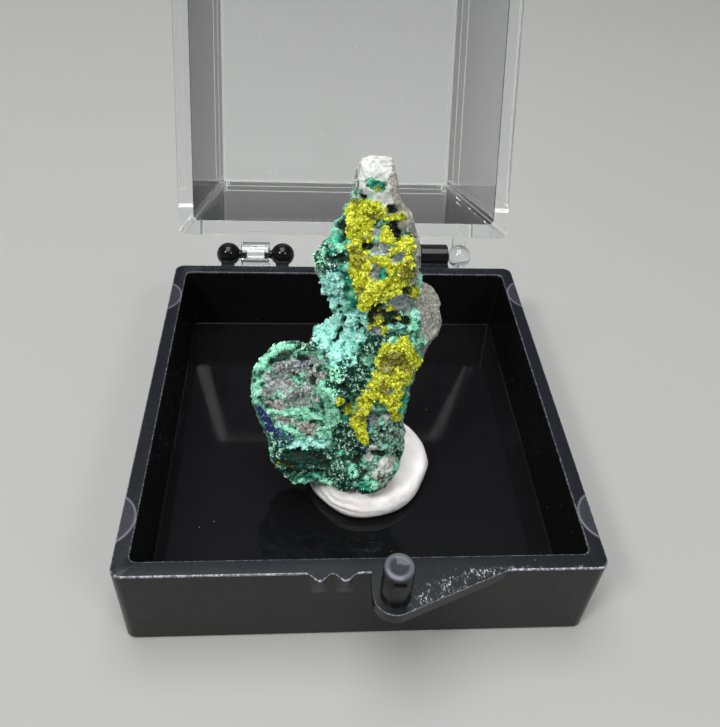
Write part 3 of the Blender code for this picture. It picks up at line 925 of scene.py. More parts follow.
@dataclass(frozen=True)
class MineralFinish:
    """The whole specimen's finish: layers of mineral over a mixed green ground, with painted shade in
    its low places and a painted highlight on its highest tops.
    """

    effects: Effects
    ground_light: Colour = srgb(120, 200, 165)
    ground_dark: Colour = srgb(14, 62, 50)
    # Painted shade for the crust's low places, and a painted highlight for its highest tops.
    shade: Colour = (0.13, 0.18, 0.16)
    painted_highlight: Colour = (0.9, 0.93, 0.86)
    shade_below: float = 0.56
    specular: float = 0.3
    layers: tuple[Layer, ...] = (
        Layer(Surface.STONE, srgb(172, 171, 160), srgb(94, 94, 88), srgb(210, 209, 200),
              0.25, 5600.0, 0.35, 0.85, 0.5, 0.7),
        Layer(Surface.DEEP, srgb(20, 92, 72), srgb(2, 20, 17), srgb(150, 220, 190),
              0.4, 3300.0, 0.7, 0.45, 0.9, 0.9),
        Layer(Surface.PALE_GREEN, srgb(150, 192, 170), srgb(40, 92, 76), srgb(214, 226, 214),
              0.3, 2600.0, 0.7, 0.4, 0.4, 0.8),
        Layer(Surface.TEAL, srgb(52, 184, 146), srgb(4, 92, 76), srgb(130, 222, 190),
              0.2, 2600.0, 0.5, 0.5, 0.5, 0.6),
        Layer(Surface.TURQUOISE, srgb(178, 242, 226), srgb(102, 196, 182), srgb(222, 250, 242),
              0.25, 3600.0, 0.5, 0.6, 0.6, 0.7),
        Layer(Surface.MATRIX, srgb(180, 187, 186), srgb(80, 85, 86), srgb(178, 226, 206),
              0.3, 5200.0, 0.6, 0.85, 0.8, 0.8),
        Layer(Surface.BLUSH, srgb(190, 177, 166), srgb(96, 88, 83), srgb(186, 226, 202),
              0.3, 4800.0, 0.6, 0.85, 0.7, 0.8),
        Layer(Surface.MINT, srgb(160, 240, 202), srgb(56, 172, 134), srgb(234, 252, 236),
              0.4, 4200.0, 0.7, 0.6, 0.7, 0.8),
        Layer(Surface.STAIN, srgb(96, 158, 176), srgb(24, 60, 84), srgb(150, 214, 200),
              0.35, 3400.0, 0.8, 0.6, 0.6, 0.8),
        Layer(Surface.AZURITE, srgb(50, 57, 132), srgb(13, 15, 52), srgb(92, 138, 168),
              0.3, 3600.0, 0.4, 0.4, 0.5, 0.8),
        Layer(Surface.QUARTZ, srgb(218, 221, 216), srgb(156, 163, 158), srgb(234, 236, 233),
              0.2, 2200.0, 0.6, 0.6, 0.4, 0.65),
        Layer(Surface.PALE_STONE, srgb(196, 192, 182), srgb(120, 117, 108), srgb(222, 220, 212),
              0.3, 4600.0, 0.7, 0.7, 0.5, 0.7),
        Layer(Surface.VOLBORTHITE, srgb(210, 216, 42), srgb(118, 120, 12), srgb(236, 240, 104),
              0.25, 6200.0, 0.7, 0.85, 0.9, 0.8),
        # Painted shade: volborthite darkened where it lies in shade.
        Layer(Surface.SHADED_VOLBORTHITE, srgb(164, 164, 34), srgb(66, 64, 12), srgb(206, 210, 70),
              0.3, 5200.0, 0.9, 0.8, 0.8, 0.9),
        Layer(Surface.WINDOW, srgb(150, 162, 160), srgb(78, 88, 88), srgb(204, 218, 214),
              0.3, 3600.0, 0.6, 0.5, 0.4, 0.7),
        # Painted shadow: near-black for dark recesses under overhangs and in crevices.
        Layer(Surface.SHADOW_POCKET, srgb(62, 70, 50), srgb(8, 13, 10), srgb(112, 150, 104),
              0.25, 3900.0, 0.9, 0.7, 0.6, 0.8),
    )

    def make(self) -> Material:
        """Builds the material."""
        material, nodes, shader = new_material("mineral crusts")
        place = nodes.add("TexCoord").outputs["Object"]
        grain = nodes.noise(place, 2600.0, 4.0, 0.7)
        under: object = nodes.mix(nodes.step(grain, 0.4, 0.62), self.ground_dark, self.ground_light)
        rough: object = 0.6
        height: object = grain
        for layer in self.layers:
            mask = nodes.add("Attribute", attribute_name=layer.surface.value).outputs["Fac"]
            laid = self.effects.layer.place(
                nodes, Position=place, Under=under, Under_Roughness=rough, Under_Height=height,
                Mask=mask, Light=layer.light, Dark=layer.dark, Fleck=layer.fleck,
                Fleck_Amount=layer.fleck_amount, Grain_Scale=layer.grain, Ragged=layer.ragged,
                Roughness=layer.roughness, Relief=layer.relief, Contrast=layer.contrast)
            under, rough, height = (laid.outputs[name] for name in ("Colour", "Roughness", "Height"))
        # Painted shade: darker where the crust is low, lighter on its highest tops.
        raised = nodes.add("Attribute", attribute_name="raised").outputs["Fac"]
        shade = nodes.rest(nodes.step(raised, 0.0, self.shade_below))
        deep = nodes.mix(1.0, under, self.shade, "MULTIPLY")
        under = nodes.mix(nodes.times(shade, 0.9), under, deep)
        under = nodes.mix(nodes.times(nodes.step(raised, 0.7, 1.0), 0.16), under, self.painted_highlight)
        nodes.put(under, shader.inputs["Base Color"])
        nodes.put(rough, shader.inputs["Roughness"])
        shader.inputs["Specular IOR Level"].default_value = self.specular
        relief(nodes, shader, height, 0.0001, 0.7)
        return material


@dataclass(frozen=True)
class GrainFinish:
    """The finish of loose grains and plates, each with its own tone, partly random and partly painted
    shade that follows the body's level.
    """

    name: str
    light: Colour
    middle: Colour
    dark: Colour
    roughness: float = 0.5
    grain: float = 5200.0
    specular: float = 0.25
    rougher: float = 0.15

    def make(self) -> Material:
        """Builds the material."""
        material, nodes, shader = new_material(self.name)
        place = nodes.add("TexCoord").outputs["Object"]
        tone = nodes.add("Attribute", attribute_name="tone").outputs["Fac"]
        wobble = nodes.minus(nodes.noise(place, self.grain, 2.0, 0.6), 0.5)
        tone = nodes.plus(tone, nodes.times(wobble, 0.7), clamp=True)
        low = nodes.mix(nodes.step(tone, 0.0, 0.5), self.dark, self.middle)
        nodes.put(nodes.mix(nodes.step(tone, 0.5, 1.0), low, self.light), shader.inputs["Base Color"])
        rough = nodes.blend_value(tone, self.roughness + self.rougher, self.roughness)
        nodes.put(rough, shader.inputs["Roughness"])
        shader.inputs["Specular IOR Level"].default_value = self.specular
        relief(nodes, shader, wobble, 0.00004, 0.5)
        return material


@dataclass(frozen=True)
class Lamp:
    """One soft light that hangs over the object."""

    name: str
    place: Triple
    size: Pair
    power: float
    colour: Colour

    def hang(self, aim: Sequence[float]) -> None:
        """Hangs the lamp.

        Args:
            aim: What it points at.
        """
        data = bpy.data.lights.new(self.name, "AREA")
        data.shape = "RECTANGLE"
        data.size, data.size_y = self.size
        data.energy = self.power
        data.color = self.colour
        light = bpy.data.objects.new(self.name, data)
        light.location = self.place
        light.rotation_euler = (Vector(aim) - Vector(self.place)).to_track_quat("-Z", "Y").to_euler()
        bpy.context.scene.collection.objects.link(light)


@dataclass
class Studio:
    """A plain pale floor, soft light and the camera at the photograph's viewing angle."""

    eye_mm: Triple = VIEW_POINT_MM
    pitch: float = -37.845
    roll: float = 3.857
    yaw: float = -5.401
    focal_px: float = 772.8
    centre_row: float = 276.0
    frame_px: tuple[int, int] = (720, 727)
    floor_size: float = 1.6
    floor_colour: Colour = (0.33, 0.333, 0.325)
    aim: Triple = (0.0, 0.0, 0.01)
    lamps: tuple[Lamp, ...] = (
        Lamp("soft box", (-0.03, 0.0, 0.38), (0.34, 0.24), 1.45, (1.0, 0.995, 0.98)),
        Lamp("key", (-0.16, -0.14, 0.27), (0.07, 0.05), 0.55, (1.0, 0.99, 0.97)),
        Lamp("fill", (0.16, -0.20, 0.26), (0.10, 0.05), 0.30, (0.97, 0.985, 1.0)))
    walls: Colour = (0.62, 0.63, 0.65)
    band: Colour = (0.21, 0.215, 0.235)
    ceiling: Colour = (0.9, 0.92, 0.95)
    band_start: Pair = (0.16, 0.42)
    ceiling_start: Pair = (0.72, 1.0)
    room_light: float = 0.55

    def camera(self) -> None:
        """Places the camera."""
        data = bpy.data.cameras.new("camera")
        camera = bpy.data.objects.new("camera", data)
        bpy.context.scene.collection.objects.link(camera)
        width, height = self.frame_px
        data.sensor_width = 36.0
        data.lens = self.focal_px * data.sensor_width / height
        data.shift_y = (self.centre_row - height / 2) / height
        data.clip_start, data.clip_end = 0.001, 20.0
        turn = Matrix.Rotation(math.radians(self.yaw), 3, "Z")
        pitch, roll = math.radians(self.pitch), math.radians(self.roll)
        ahead = turn @ Vector((0.0, math.cos(pitch), math.sin(pitch)))
        right = turn @ Vector((1.0, 0.0, 0.0))
        up = right.cross(ahead)
        tilted_right = math.cos(roll) * right + math.sin(roll) * up
        tilted_up = math.cos(roll) * up - math.sin(roll) * right
        axes = Matrix((tilted_right, tilted_up, -ahead)).transposed().to_4x4()
        place = Vector(self.eye_mm) * MM + Vector((0.0, 0.0, RIM_Z))
        camera.matrix_world = Matrix.Translation(place) @ axes
        bpy.context.scene.camera = camera

    def floor(self) -> None:
        """Lays the floor."""
        mesh = bmesh.new()
        bmesh.ops.create_grid(mesh, x_segments=2, y_segments=2, size=self.floor_size / 2)
        floor = Shapes.to_object("floor", mesh)
        material, nodes, shader = new_material("pale floor")
        nodes.put(self.floor_colour, shader.inputs["Base Color"])
        shader.inputs["Roughness"].default_value = 0.85
        floor.data.materials.append(material)

    def lights(self) -> None:
        """Hangs the lamps and makes the room: pale walls, a dim band above them, a bright ceiling."""
        for lamp in self.lamps:
            lamp.hang(self.aim)
        world = bpy.data.worlds.new("soft room")
        bpy.context.scene.world = world
        world.use_nodes = True
        nodes = Nodes(world.node_tree)
        place = nodes.add("TexCoord").outputs["Generated"]
        up = nodes.split(place)[2]
        walls = nodes.mix(nodes.step(up, *self.band_start), self.walls, self.band)
        colour = nodes.mix(nodes.step(up, *self.ceiling_start), walls, self.ceiling)
        background = world.node_tree.nodes["Background"]
        nodes.put(colour, background.inputs[0])
        background.inputs[1].default_value = self.room_light

    def build(self) -> None:
        """Sets the stage."""
        self.floor()
        self.lights()
        self.camera()
        bpy.context.scene.view_settings.view_transform = "Standard"


@dataclass(frozen=True)
class HingeSeat:
    """Where a part's halves of the hinges sit, in Y and Z."""

    axis: Pair
    ends: Pair
    heights: Pair


@dataclass
class HingeSizes:
    """The two hinges' sizes, shared by the tray and the lid."""

    x: float = 0.0086
    setback: float = 0.0018
    arm_width: float = 0.00267
    arm_radius: float = 0.00118
    knob_radius: float = 0.00112
    side_gap: float = 0.00015
    bore_radius: float = 0.00062
    pin_radius: float = 0.00042
    pin_reach: float = 0.0005
    lug_width: float = 0.0012
    lug_depth: float = 0.0009
    sink: float = 0.0004

    @property
    def knob_offset(self) -> float:
        """The distance of a knob's middle from its hinge's middle."""
        return self.arm_width / 2 + self.side_gap + self.knob_radius * 0.97

    def lug(self, half: float, start: float, end: float, low: float, high: float) -> BMesh:
        """Makes a bracket from start to end along Y, between two heights.

        Args:
            half: Half its width.
            start: Its first end.
            end: Its other end.
            low: Its underside.
            high: Its top.

        Returns:
            The bracket.
        """
        corners = ((-half, start), (half, start), (half, end), (-half, end))
        return Shapes.prism(corners, low, high, 0.00008)

    def knobs(self, hinge_x: float, seat: HingeSeat) -> list[BMesh]:
        """Makes two round knobs on their lugs, each with the short pin that enters the arm.

        Args:
            hinge_x: The hinge's middle.
            seat: The axis, and the lugs' ends and heights.

        Returns:
            The shapes.
        """
        shapes = []
        for sign in (-1, 1):
            x = hinge_x + sign * self.knob_offset
            ball = bmesh.new()
            bmesh.ops.create_uvsphere(ball, u_segments=32, v_segments=18, radius=self.knob_radius)
            shapes.append(Shapes.moved(ball, (x, *seat.axis), Axis.X))
            lug = self.lug(self.lug_width / 2, *seat.ends, *seat.heights)
            shapes.append(Shapes.moved(lug, (x, 0, 0)))
            near, far = sorted((sign * (self.arm_width / 2 - self.pin_reach), sign * self.knob_offset))
            pin = Shapes.turned(((self.pin_radius, near), (self.pin_radius, far)), 20)
            shapes.append(Shapes.moved(pin, (hinge_x, *seat.axis), Axis.X))
        return shapes

    def arm(self, hinge_x: float, seat: HingeSeat) -> list[BMesh]:
        """Makes the arm that turns between the other part's knobs.

        Args:
            hinge_x: The hinge's middle.
            seat: The axis, and the arm's ends and heights.

        Returns:
            The shapes.
        """
        half, soft = self.arm_width / 2, 0.00008
        profile = ((self.arm_radius - soft, -half), (self.arm_radius, -half + soft),
                   (self.arm_radius, half - soft), (self.arm_radius - soft, half))
        barrel = Shapes.moved(Shapes.turned(profile, 40), (hinge_x, *seat.axis), Axis.X)
        return [barrel, Shapes.moved(self.lug(half, *seat.ends, *seat.heights), (hinge_x, 0, 0))]

    def bore(self, hinge_x: float, seat: HingeSeat) -> BMesh:
        """Makes the bore through an arm."""
        profile = ((self.bore_radius, -self.arm_width), (self.bore_radius, self.arm_width))
        return Shapes.moved(Shapes.turned(profile, 24), (hinge_x, *seat.axis), Axis.X)


@dataclass
class LatchSizes:
    """The latch's sizes, shared by the tray's tab and the lid's ear."""

    post_x: float = 0.0018
    reach: float = 0.0014
    post_radius: float = 0.00097
    post_height: float = 0.003
    root_right: float = 0.0091
    sink: float = 0.0004

    def outline(self, front: float, nose_radius: float) -> list[Pair]:
        """Draws the tab from above: a straight left side, a round nose and a slanted right side.

        Args:
            front: The front face's place along Y.
            nose_radius: The radius of the nose.

        Returns:
            The outline, anticlockwise.
        """
        centre = Vector((self.post_x, front - self.reach))
        root = Vector((self.root_right, front))
        away = root - centre
        tangent = math.atan2(away.y, away.x) - math.acos(nose_radius / away.length)
        turn, steps = (tangent - math.pi) % (2 * math.pi), 20
        points = [(self.post_x - nose_radius, front + self.sink)]
        for i in range(steps + 1):
            angle = math.pi + turn * i / steps
            points.append((centre.x + nose_radius * math.cos(angle),
                           centre.y + nose_radius * math.sin(angle)))
        return points + [(root.x, root.y), (root.x, root.y + self.sink)]


@dataclass
class TrayMoulding:
    """The black tray, moulded in one with its latch, ribs, knobs and hinge arm."""

    finish: BlackPlastic
    hinge: HingeSizes
    latch: LatchSizes
    cavity_depth: float = 0.0061
    rim_wall: float = 0.00107
    outer_draft: float = 0.012
    inner_draft: float = 0.035
    corner: float = 0.0007
    inner_corner: float = 0.0005
    foot_radius: float = 0.00025
    rim_edge: float = 0.0001
    nub_width: float = 0.0008
    nub_height: float = 0.00032
    nub_drop: float = 0.0005
    nub_reach: float = 0.00015
    tab_thickness: float = 0.001
    nose_radius: float = 0.0014
    rib_xs: Pair = (-0.00284, -0.00121)
    rib_reach: float = 0.00055
    rib_half: float = 0.00082
    rib_length: float = 0.0024
    rib_levels: tuple[float, ...] = (1.0, 0.8, 0.55, 0.3, 0.1)
    rib_root: float = 0.0004
    rib_start: float = 0.00004
    tab_edge: float = 0.00009
    nub_edge: float = 0.00004

    def shell(self) -> BMesh:
        """Makes the open tray, with its edges rounded as the mould leaves them."""
        soft, foot = self.rim_edge, self.foot_radius
        outer = HALF_SIDE - self.outer_draft * RIM_Z
        inner = HALF_SIDE - self.rim_wall
        low, high = RIM_Z - self.cavity_depth, RIM_Z
        bottom = inner - self.inner_draft * self.cavity_depth
        rings = Shapes.round_edge(outer, 0.0, (-foot, foot), self.corner, steps=4)
        rings += Shapes.round_edge(HALF_SIDE, high, (-soft, -soft), self.corner, level_last=True)
        rings += Shapes.round_edge(inner, high, (soft, -soft), self.inner_corner)
        rings += Shapes.round_edge(bottom, low, (-2 * soft, 2 * soft), self.inner_corner,
                                   level_last=True)
        return Shapes.loft(rings)

    def rib(self, middle: float) -> BMesh:
        """Makes a rib that swells out of the front wall under the rim and fades out downwards.

        Args:
            middle: Its place along X.

        Returns:
            The rib.
        """
        wall, steps, rings = -HALF_SIDE + self.rib_start, 16, []
        levels = [(self.rib_length * share, self.rib_reach * (1 - share) ** 0.5)
                  for share in self.rib_levels]
        levels += [(self.rim_edge, self.rib_reach), (0.0, self.rib_reach - self.rim_edge)]
        for drop, reach in levels:
            inset = self.outer_draft * drop
            ring = []
            for step in range(steps + 1):
                across = -1 + 2 * step / steps
                swell = (0.5 + 0.5 * math.cos(math.pi * across)) * reach
                ring.append(Vector((middle + across * self.rib_half, wall + inset - swell,
                                    RIM_Z - drop)))
            ring += [Vector((middle + sign * self.rib_half, wall + self.rib_root, RIM_Z - drop))
                     for sign in (1, -1)]
            rings.append(ring)
        return Shapes.loft(rings)

    def post(self) -> BMesh:
        """Makes the latch post, with its edge broken and a shallow dish in its end."""
        radius, height = self.latch.post_radius, self.latch.post_height
        profile = ((radius, -self.tab_thickness / 2), (radius, height - 0.0002),
                   (radius - 0.00006, height - 0.00007), (radius - 0.0002, height),
                   (radius - 0.00034, height), (radius - 0.00044, height - 0.00005),
                   (radius * 0.2, height - 0.00008))
        place = (self.latch.post_x, -HALF_SIDE - self.latch.reach, RIM_Z)
        return Shapes.moved(Shapes.turned(profile, 40), place)

    def nub(self) -> BMesh:
        """Makes the small nub on the post's front that keeps the lid's ear down."""
        half, middle = self.nub_width / 2, -HALF_SIDE - self.latch.reach
        front = middle - self.latch.post_radius - self.nub_reach
        outline = [(self.latch.post_x + x, y) for x, y in
                   ((-half, front), (half, front), (half, middle), (-half, middle))]
        top = RIM_Z + self.latch.post_height - self.nub_drop
        return Shapes.prism(outline, top - self.nub_height, top, self.nub_edge)

    def build(self) -> Piece:
        """Builds and dresses the tray.

        Returns:
            The tray's object.
        """
        outline = self.latch.outline(-HALF_SIDE, self.nose_radius)
        tab = Shapes.prism(outline, RIM_Z - self.tab_thickness, RIM_Z, self.tab_edge)
        joined = [tab, self.post(), self.nub()] + [self.rib(x) for x in self.rib_xs]
        hinge = self.hinge
        seat = HingeSeat((AXIS_Y, RIM_Z), (HALF_SIDE - hinge.sink, AXIS_Y),
                         (RIM_Z - hinge.lug_depth, RIM_Z - hinge.side_gap))
        joined += hinge.knobs(-hinge.x, seat) + hinge.arm(hinge.x, seat)
        cut = [hinge.bore(hinge.x, seat)]
        tray = Shapes.fused("tray_moulding", self.shell(), joined, cut)
        tray.data.materials.clear()
        tray.data.materials.append(self.finish.make())
        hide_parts("tray")
        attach(tray, "base")
        return tray


@dataclass
class ClearLid:
    """The clear lid, moulded in one with its hinge arm, knobs and latch ear."""

    effects: Effects
    hinge: HingeSizes
    latch: LatchSizes
    rim_gap: float = 0.0002
    height: float = 0.0244
    wall: float = 0.00147
    top: float = 0.0015
    outer_draft: float = 0.008
    inner_draft: float = 0.0245
    corner: float = 0.0007
    inner_corner: float = 0.0005
    edge: float = 0.000375
    soft: float = 0.00014
    ear_thickness: float = 0.0011
    ear_radius: float = 0.00217
    hole_radius: float = 0.00125

    def shell(self) -> BMesh:
        """Makes the open lid about the hinge axis, in its closed place."""
        soft, middle, ceiling = self.soft, -AXIS_Y, self.height - self.top
        inner = HALF_SIDE - self.wall
        upper = inner - self.inner_draft * ceiling
        outer, edge = HALF_SIDE - self.outer_draft * self.height, (-self.edge, -self.edge)
        rings = Shapes.round_edge(upper, ceiling, (-soft, -soft), self.inner_corner, centre_y=middle)
        rings += Shapes.round_edge(inner, self.rim_gap, (soft, soft), self.inner_corner, True, middle)
        rings += Shapes.round_edge(HALF_SIDE, self.rim_gap, (-soft, soft), self.corner, centre_y=middle)
        rings += Shapes.round_edge(outer, self.height, edge, self.corner, True, middle, 4)
        return Shapes.loft(rings)

    def open_turn(self) -> Matrix:
        """Finds the turn from the closed lid, about the hinge axis, to the lid as it rests."""
        angle = math.radians(frame["record"]["behaviour"]["joints"][0]["range_deg"][1])
        return Matrix.Translation((0.0, AXIS_Y, RIM_Z)) @ Matrix.Rotation(-angle, 4, "X")

    def build(self) -> Piece:
        """Builds and dresses the lid.

        Returns:
            The lid's object.
        """
        hinge = self.hinge
        seat = HingeSeat((0.0, 0.0), (-hinge.setback - hinge.sink, 0.0),
                         (hinge.side_gap, hinge.lug_depth))
        joined = hinge.knobs(hinge.x, seat) + hinge.arm(-hinge.x, seat)
        front = -AXIS_Y - HALF_SIDE
        ear = self.latch.outline(front, self.ear_radius)
        joined.append(Shapes.prism(ear, self.rim_gap, self.rim_gap + self.ear_thickness, self.soft))
        hole = Shapes.turned(((self.hole_radius, -0.001), (self.hole_radius, 0.003)), 32)
        hole = Shapes.moved(hole, (self.latch.post_x, front - self.latch.reach, 0.0))
        cut = [hinge.bore(-hinge.x, seat), hole]
        lid = Shapes.fused("clear_lid", self.shell(), joined, cut)
        lid.data.transform(self.open_turn())
        lid.data.materials.clear()
        about_middle = Matrix.Translation((0.0, AXIS_Y, 0.0)) @ self.open_turn().inverted()
        ceiling = self.height - self.top
        finish = ClearPlastic(self.effects, about_middle, (HALF_SIDE, self.outer_draft, self.height),
                              (HALF_SIDE - self.wall, self.inner_draft, ceiling))
        lid.data.materials.append(finish.make())
        lid.visible_shadow = lid.visible_diffuse = False
        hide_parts("lid")
        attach(lid, "lid")
        return lid


@dataclass
class PuttyPad:
    """The round pad of putty, pressed up against the specimen's foot."""

    finish: PuttyFinish
    centre: Pair = (0.00105, -0.00305)
    radius: float = 0.0049
    height: float = 0.0019
    foot: Pair = (0.00095, -0.0039)
    foot_radii: Pair = (0.0025, 0.0022)
    steps: int = 160
    brim_deg: Pair = (-62.0, 90.0)
    brim_strips: int = 18
    top_shares: tuple[float, ...] = (0.8, 0.72, 0.64, 0.56, 0.48, 0.4, 0.3, 0.2, 0.1)
    lump: Pair = (620.0, 0.00016)
    grain: Pair = (2100.0, 0.00004)
    fold_at: float = -2.05
    fold_spread: float = 0.45
    crease: Pair = (5200.0, 0.00016)
    lift: float = 0.00022

    def ring(self, share: float, height: float, floor: float) -> Ring:
        """Makes one ring of the pad, a little out of round.

        Args:
            share: Its radius as a share of the pad's.
            height: Its height as a share of the pad's.
            floor: The height of the tray's floor.

        Returns:
            The ring's points.
        """
        points = []
        for i in range(self.steps):
            angle = 2 * math.pi * i / self.steps
            swell = 1 + 0.03 * (math.sin(3 * angle + 0.6) * 0.5 + math.sin(7 * angle + 2.0) * 0.35)
            reach = self.radius * share * swell
            x, y = self.centre[0] + reach * math.cos(angle), self.centre[1] + reach * math.sin(angle)
            points.append(Vector((x, y, floor + height * self.height)))
        return points

    def knead(self, mesh: BMesh, floor: float) -> None:
        """Presses lumps, folds and finger marks into the pad.

        Args:
            mesh: The pad's mesh.
            floor: The height of the tray's floor.
        """
        mesh.normal_update()
        moves = []
        for vert in mesh.verts:
            at = vert.co
            up = max(0.0, min(1.0, (at.z - floor - 0.0002) / 0.0006))
            broad = noise.noise(at * self.lump[0]) * self.lump[1]
            small = noise.noise(at * self.grain[0] + Vector((7.0, 3.0, 1.0))) * self.grain[1]
            angle = math.atan2(at.y - self.centre[1], at.x - self.centre[0])
            fold = math.exp(-((angle - self.fold_at) / self.fold_spread) ** 2)
            wave = math.sin((at.z - floor) * self.crease[0] + noise.noise(at * 500.0) * 2.0)
            crease = -abs(wave) * self.crease[1] * fold
            moves.append(vert.normal * (broad + small + crease) * up)
            foot_x = (at.x - self.foot[0]) / self.foot_radii[0]
            foot_y = (at.y - self.foot[1]) / self.foot_radii[1]
            near = math.exp(-max(0.0, math.hypot(foot_x, foot_y) - 1.0) * 4.0)
            moves[-1] += Vector((0.0, 0.0, self.lift * near * up))
        for vert, move in zip(mesh.verts, moves):
            vert.co += move

    def build(self) -> Piece:
        """Builds and dresses the pad.

        Returns:
            The pad's object.
        """
        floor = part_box("putty")[0][2]
        rings = []
        low, high = self.brim_deg
        for i in range(self.brim_strips + 1):
            angle = math.radians(low + (high - low) * i / self.brim_strips)
            share = 0.86 + 0.14 * math.cos(angle)
            rings.append(self.ring(share, 0.47 + 0.53 * math.sin(angle), floor))
        rings += [self.ring(share, 1.0, floor) for share in self.top_shares]
        mesh = Shapes.loft(rings)
        self.knead(mesh, floor)
        pad = Shapes.to_object("putty_pad", mesh)
        pad.data.materials.append(self.finish.make())
        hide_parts("putty")
        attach(pad, "base")
        return pad


@dataclass(frozen=True)
class Patch:
    """An oval of one kind of surface on the specimen's front, in millimetres."""

    x: float
    z: float
    half_width: float
    half_height: float
    lean: float = 0.0


@dataclass(frozen=True)
class FrontMap:
    """Flattens the specimen's front onto its leaning middle plane, as seen from one fixed point."""

    eye: Triple = VIEW_POINT_MM
    foot_y: float = -4.0
    foot_z: float = -5.0
    lean: float = 3.5 / 26.0

    def flatten(self, points: np.ndarray) -> np.ndarray:
        """Carries points along the line from the eye to the plane.

        Args:
            points: Places on the specimen, in millimetres.

        Returns:
            The X and Z of each on the plane.
        """
        eye = np.array(self.eye)
        ray = points - eye
        short_of = self.foot_y + self.lean * (eye[2] - self.foot_z) - eye[1]
        reach = short_of / (ray[:, 1] - self.lean * ray[:, 2])
        return (eye + reach[:, None] * ray)[:, [0, 2]]

    def facing(self, points: np.ndarray, normals: np.ndarray) -> np.ndarray:
        """Measures how far a surface looks towards the eye, from 0 to 1."""
        towards = np.array(self.eye) - points
        towards /= np.linalg.norm(towards, axis=1)[:, None]
        return np.clip((np.einsum("ij,ij->i", normals, towards) + 0.25) / 0.35, 0.0, 1.0)


def ovals(*rows: tuple[float, ...]) -> tuple[Patch, ...]:
    """Makes patches from rows of X, Z, half width, half height and, where there is one, lean."""
    return tuple(Patch(*row) for row in rows)


def vein(half: float, *points: Pair) -> tuple[Patch, ...]:
    """Makes the thin patches of a vein.

    Args:
        half: Half the vein's width.
        points: The X and Z of its bends.

    Returns:
        One long patch from each bend to the next.
    """
    links = []
    for (x0, z0), (x1, z1) in zip(points, points[1:]):
        length, lean = math.hypot(x1 - x0, z1 - z0), math.degrees(math.atan2(z1 - z0, x1 - x0))
        links.append(Patch((x0 + x1) / 2, (z0 + z1) / 2, length * 0.62, half, lean))
    return tuple(links)


KEPT_CLEAR = (Surface.WINDOW, Surface.SHADOW_POCKET, Surface.VOLBORTHITE, Surface.STONE, Surface.SHADED_VOLBORTHITE)


def veins(*rows: tuple[object, ...]) -> tuple[Patch, ...]:
    """Makes veins from rows of half a vein's width and the X and Z of its bends."""
    return tuple(link for row in rows for link in vein(*row))


def read_points(source: bpy.types.bpy_prop_collection, key: str, count: int, width: int = 1,
                kind: type = np.float32) -> np.ndarray:
    """Reads one value of every point of a mesh.

    Args:
        source: The points, or the layer of their values.
        key: The value's name.
        count: The number of points.
        width: How many numbers it has.
        kind: The numbers' type.

    Returns:
        The values, one row for each point where they have more than one number.
    """
    values = np.empty(count * width, kind)
    source.foreach_get(key, values)
    return values.reshape(-1, width) if width > 1 else values


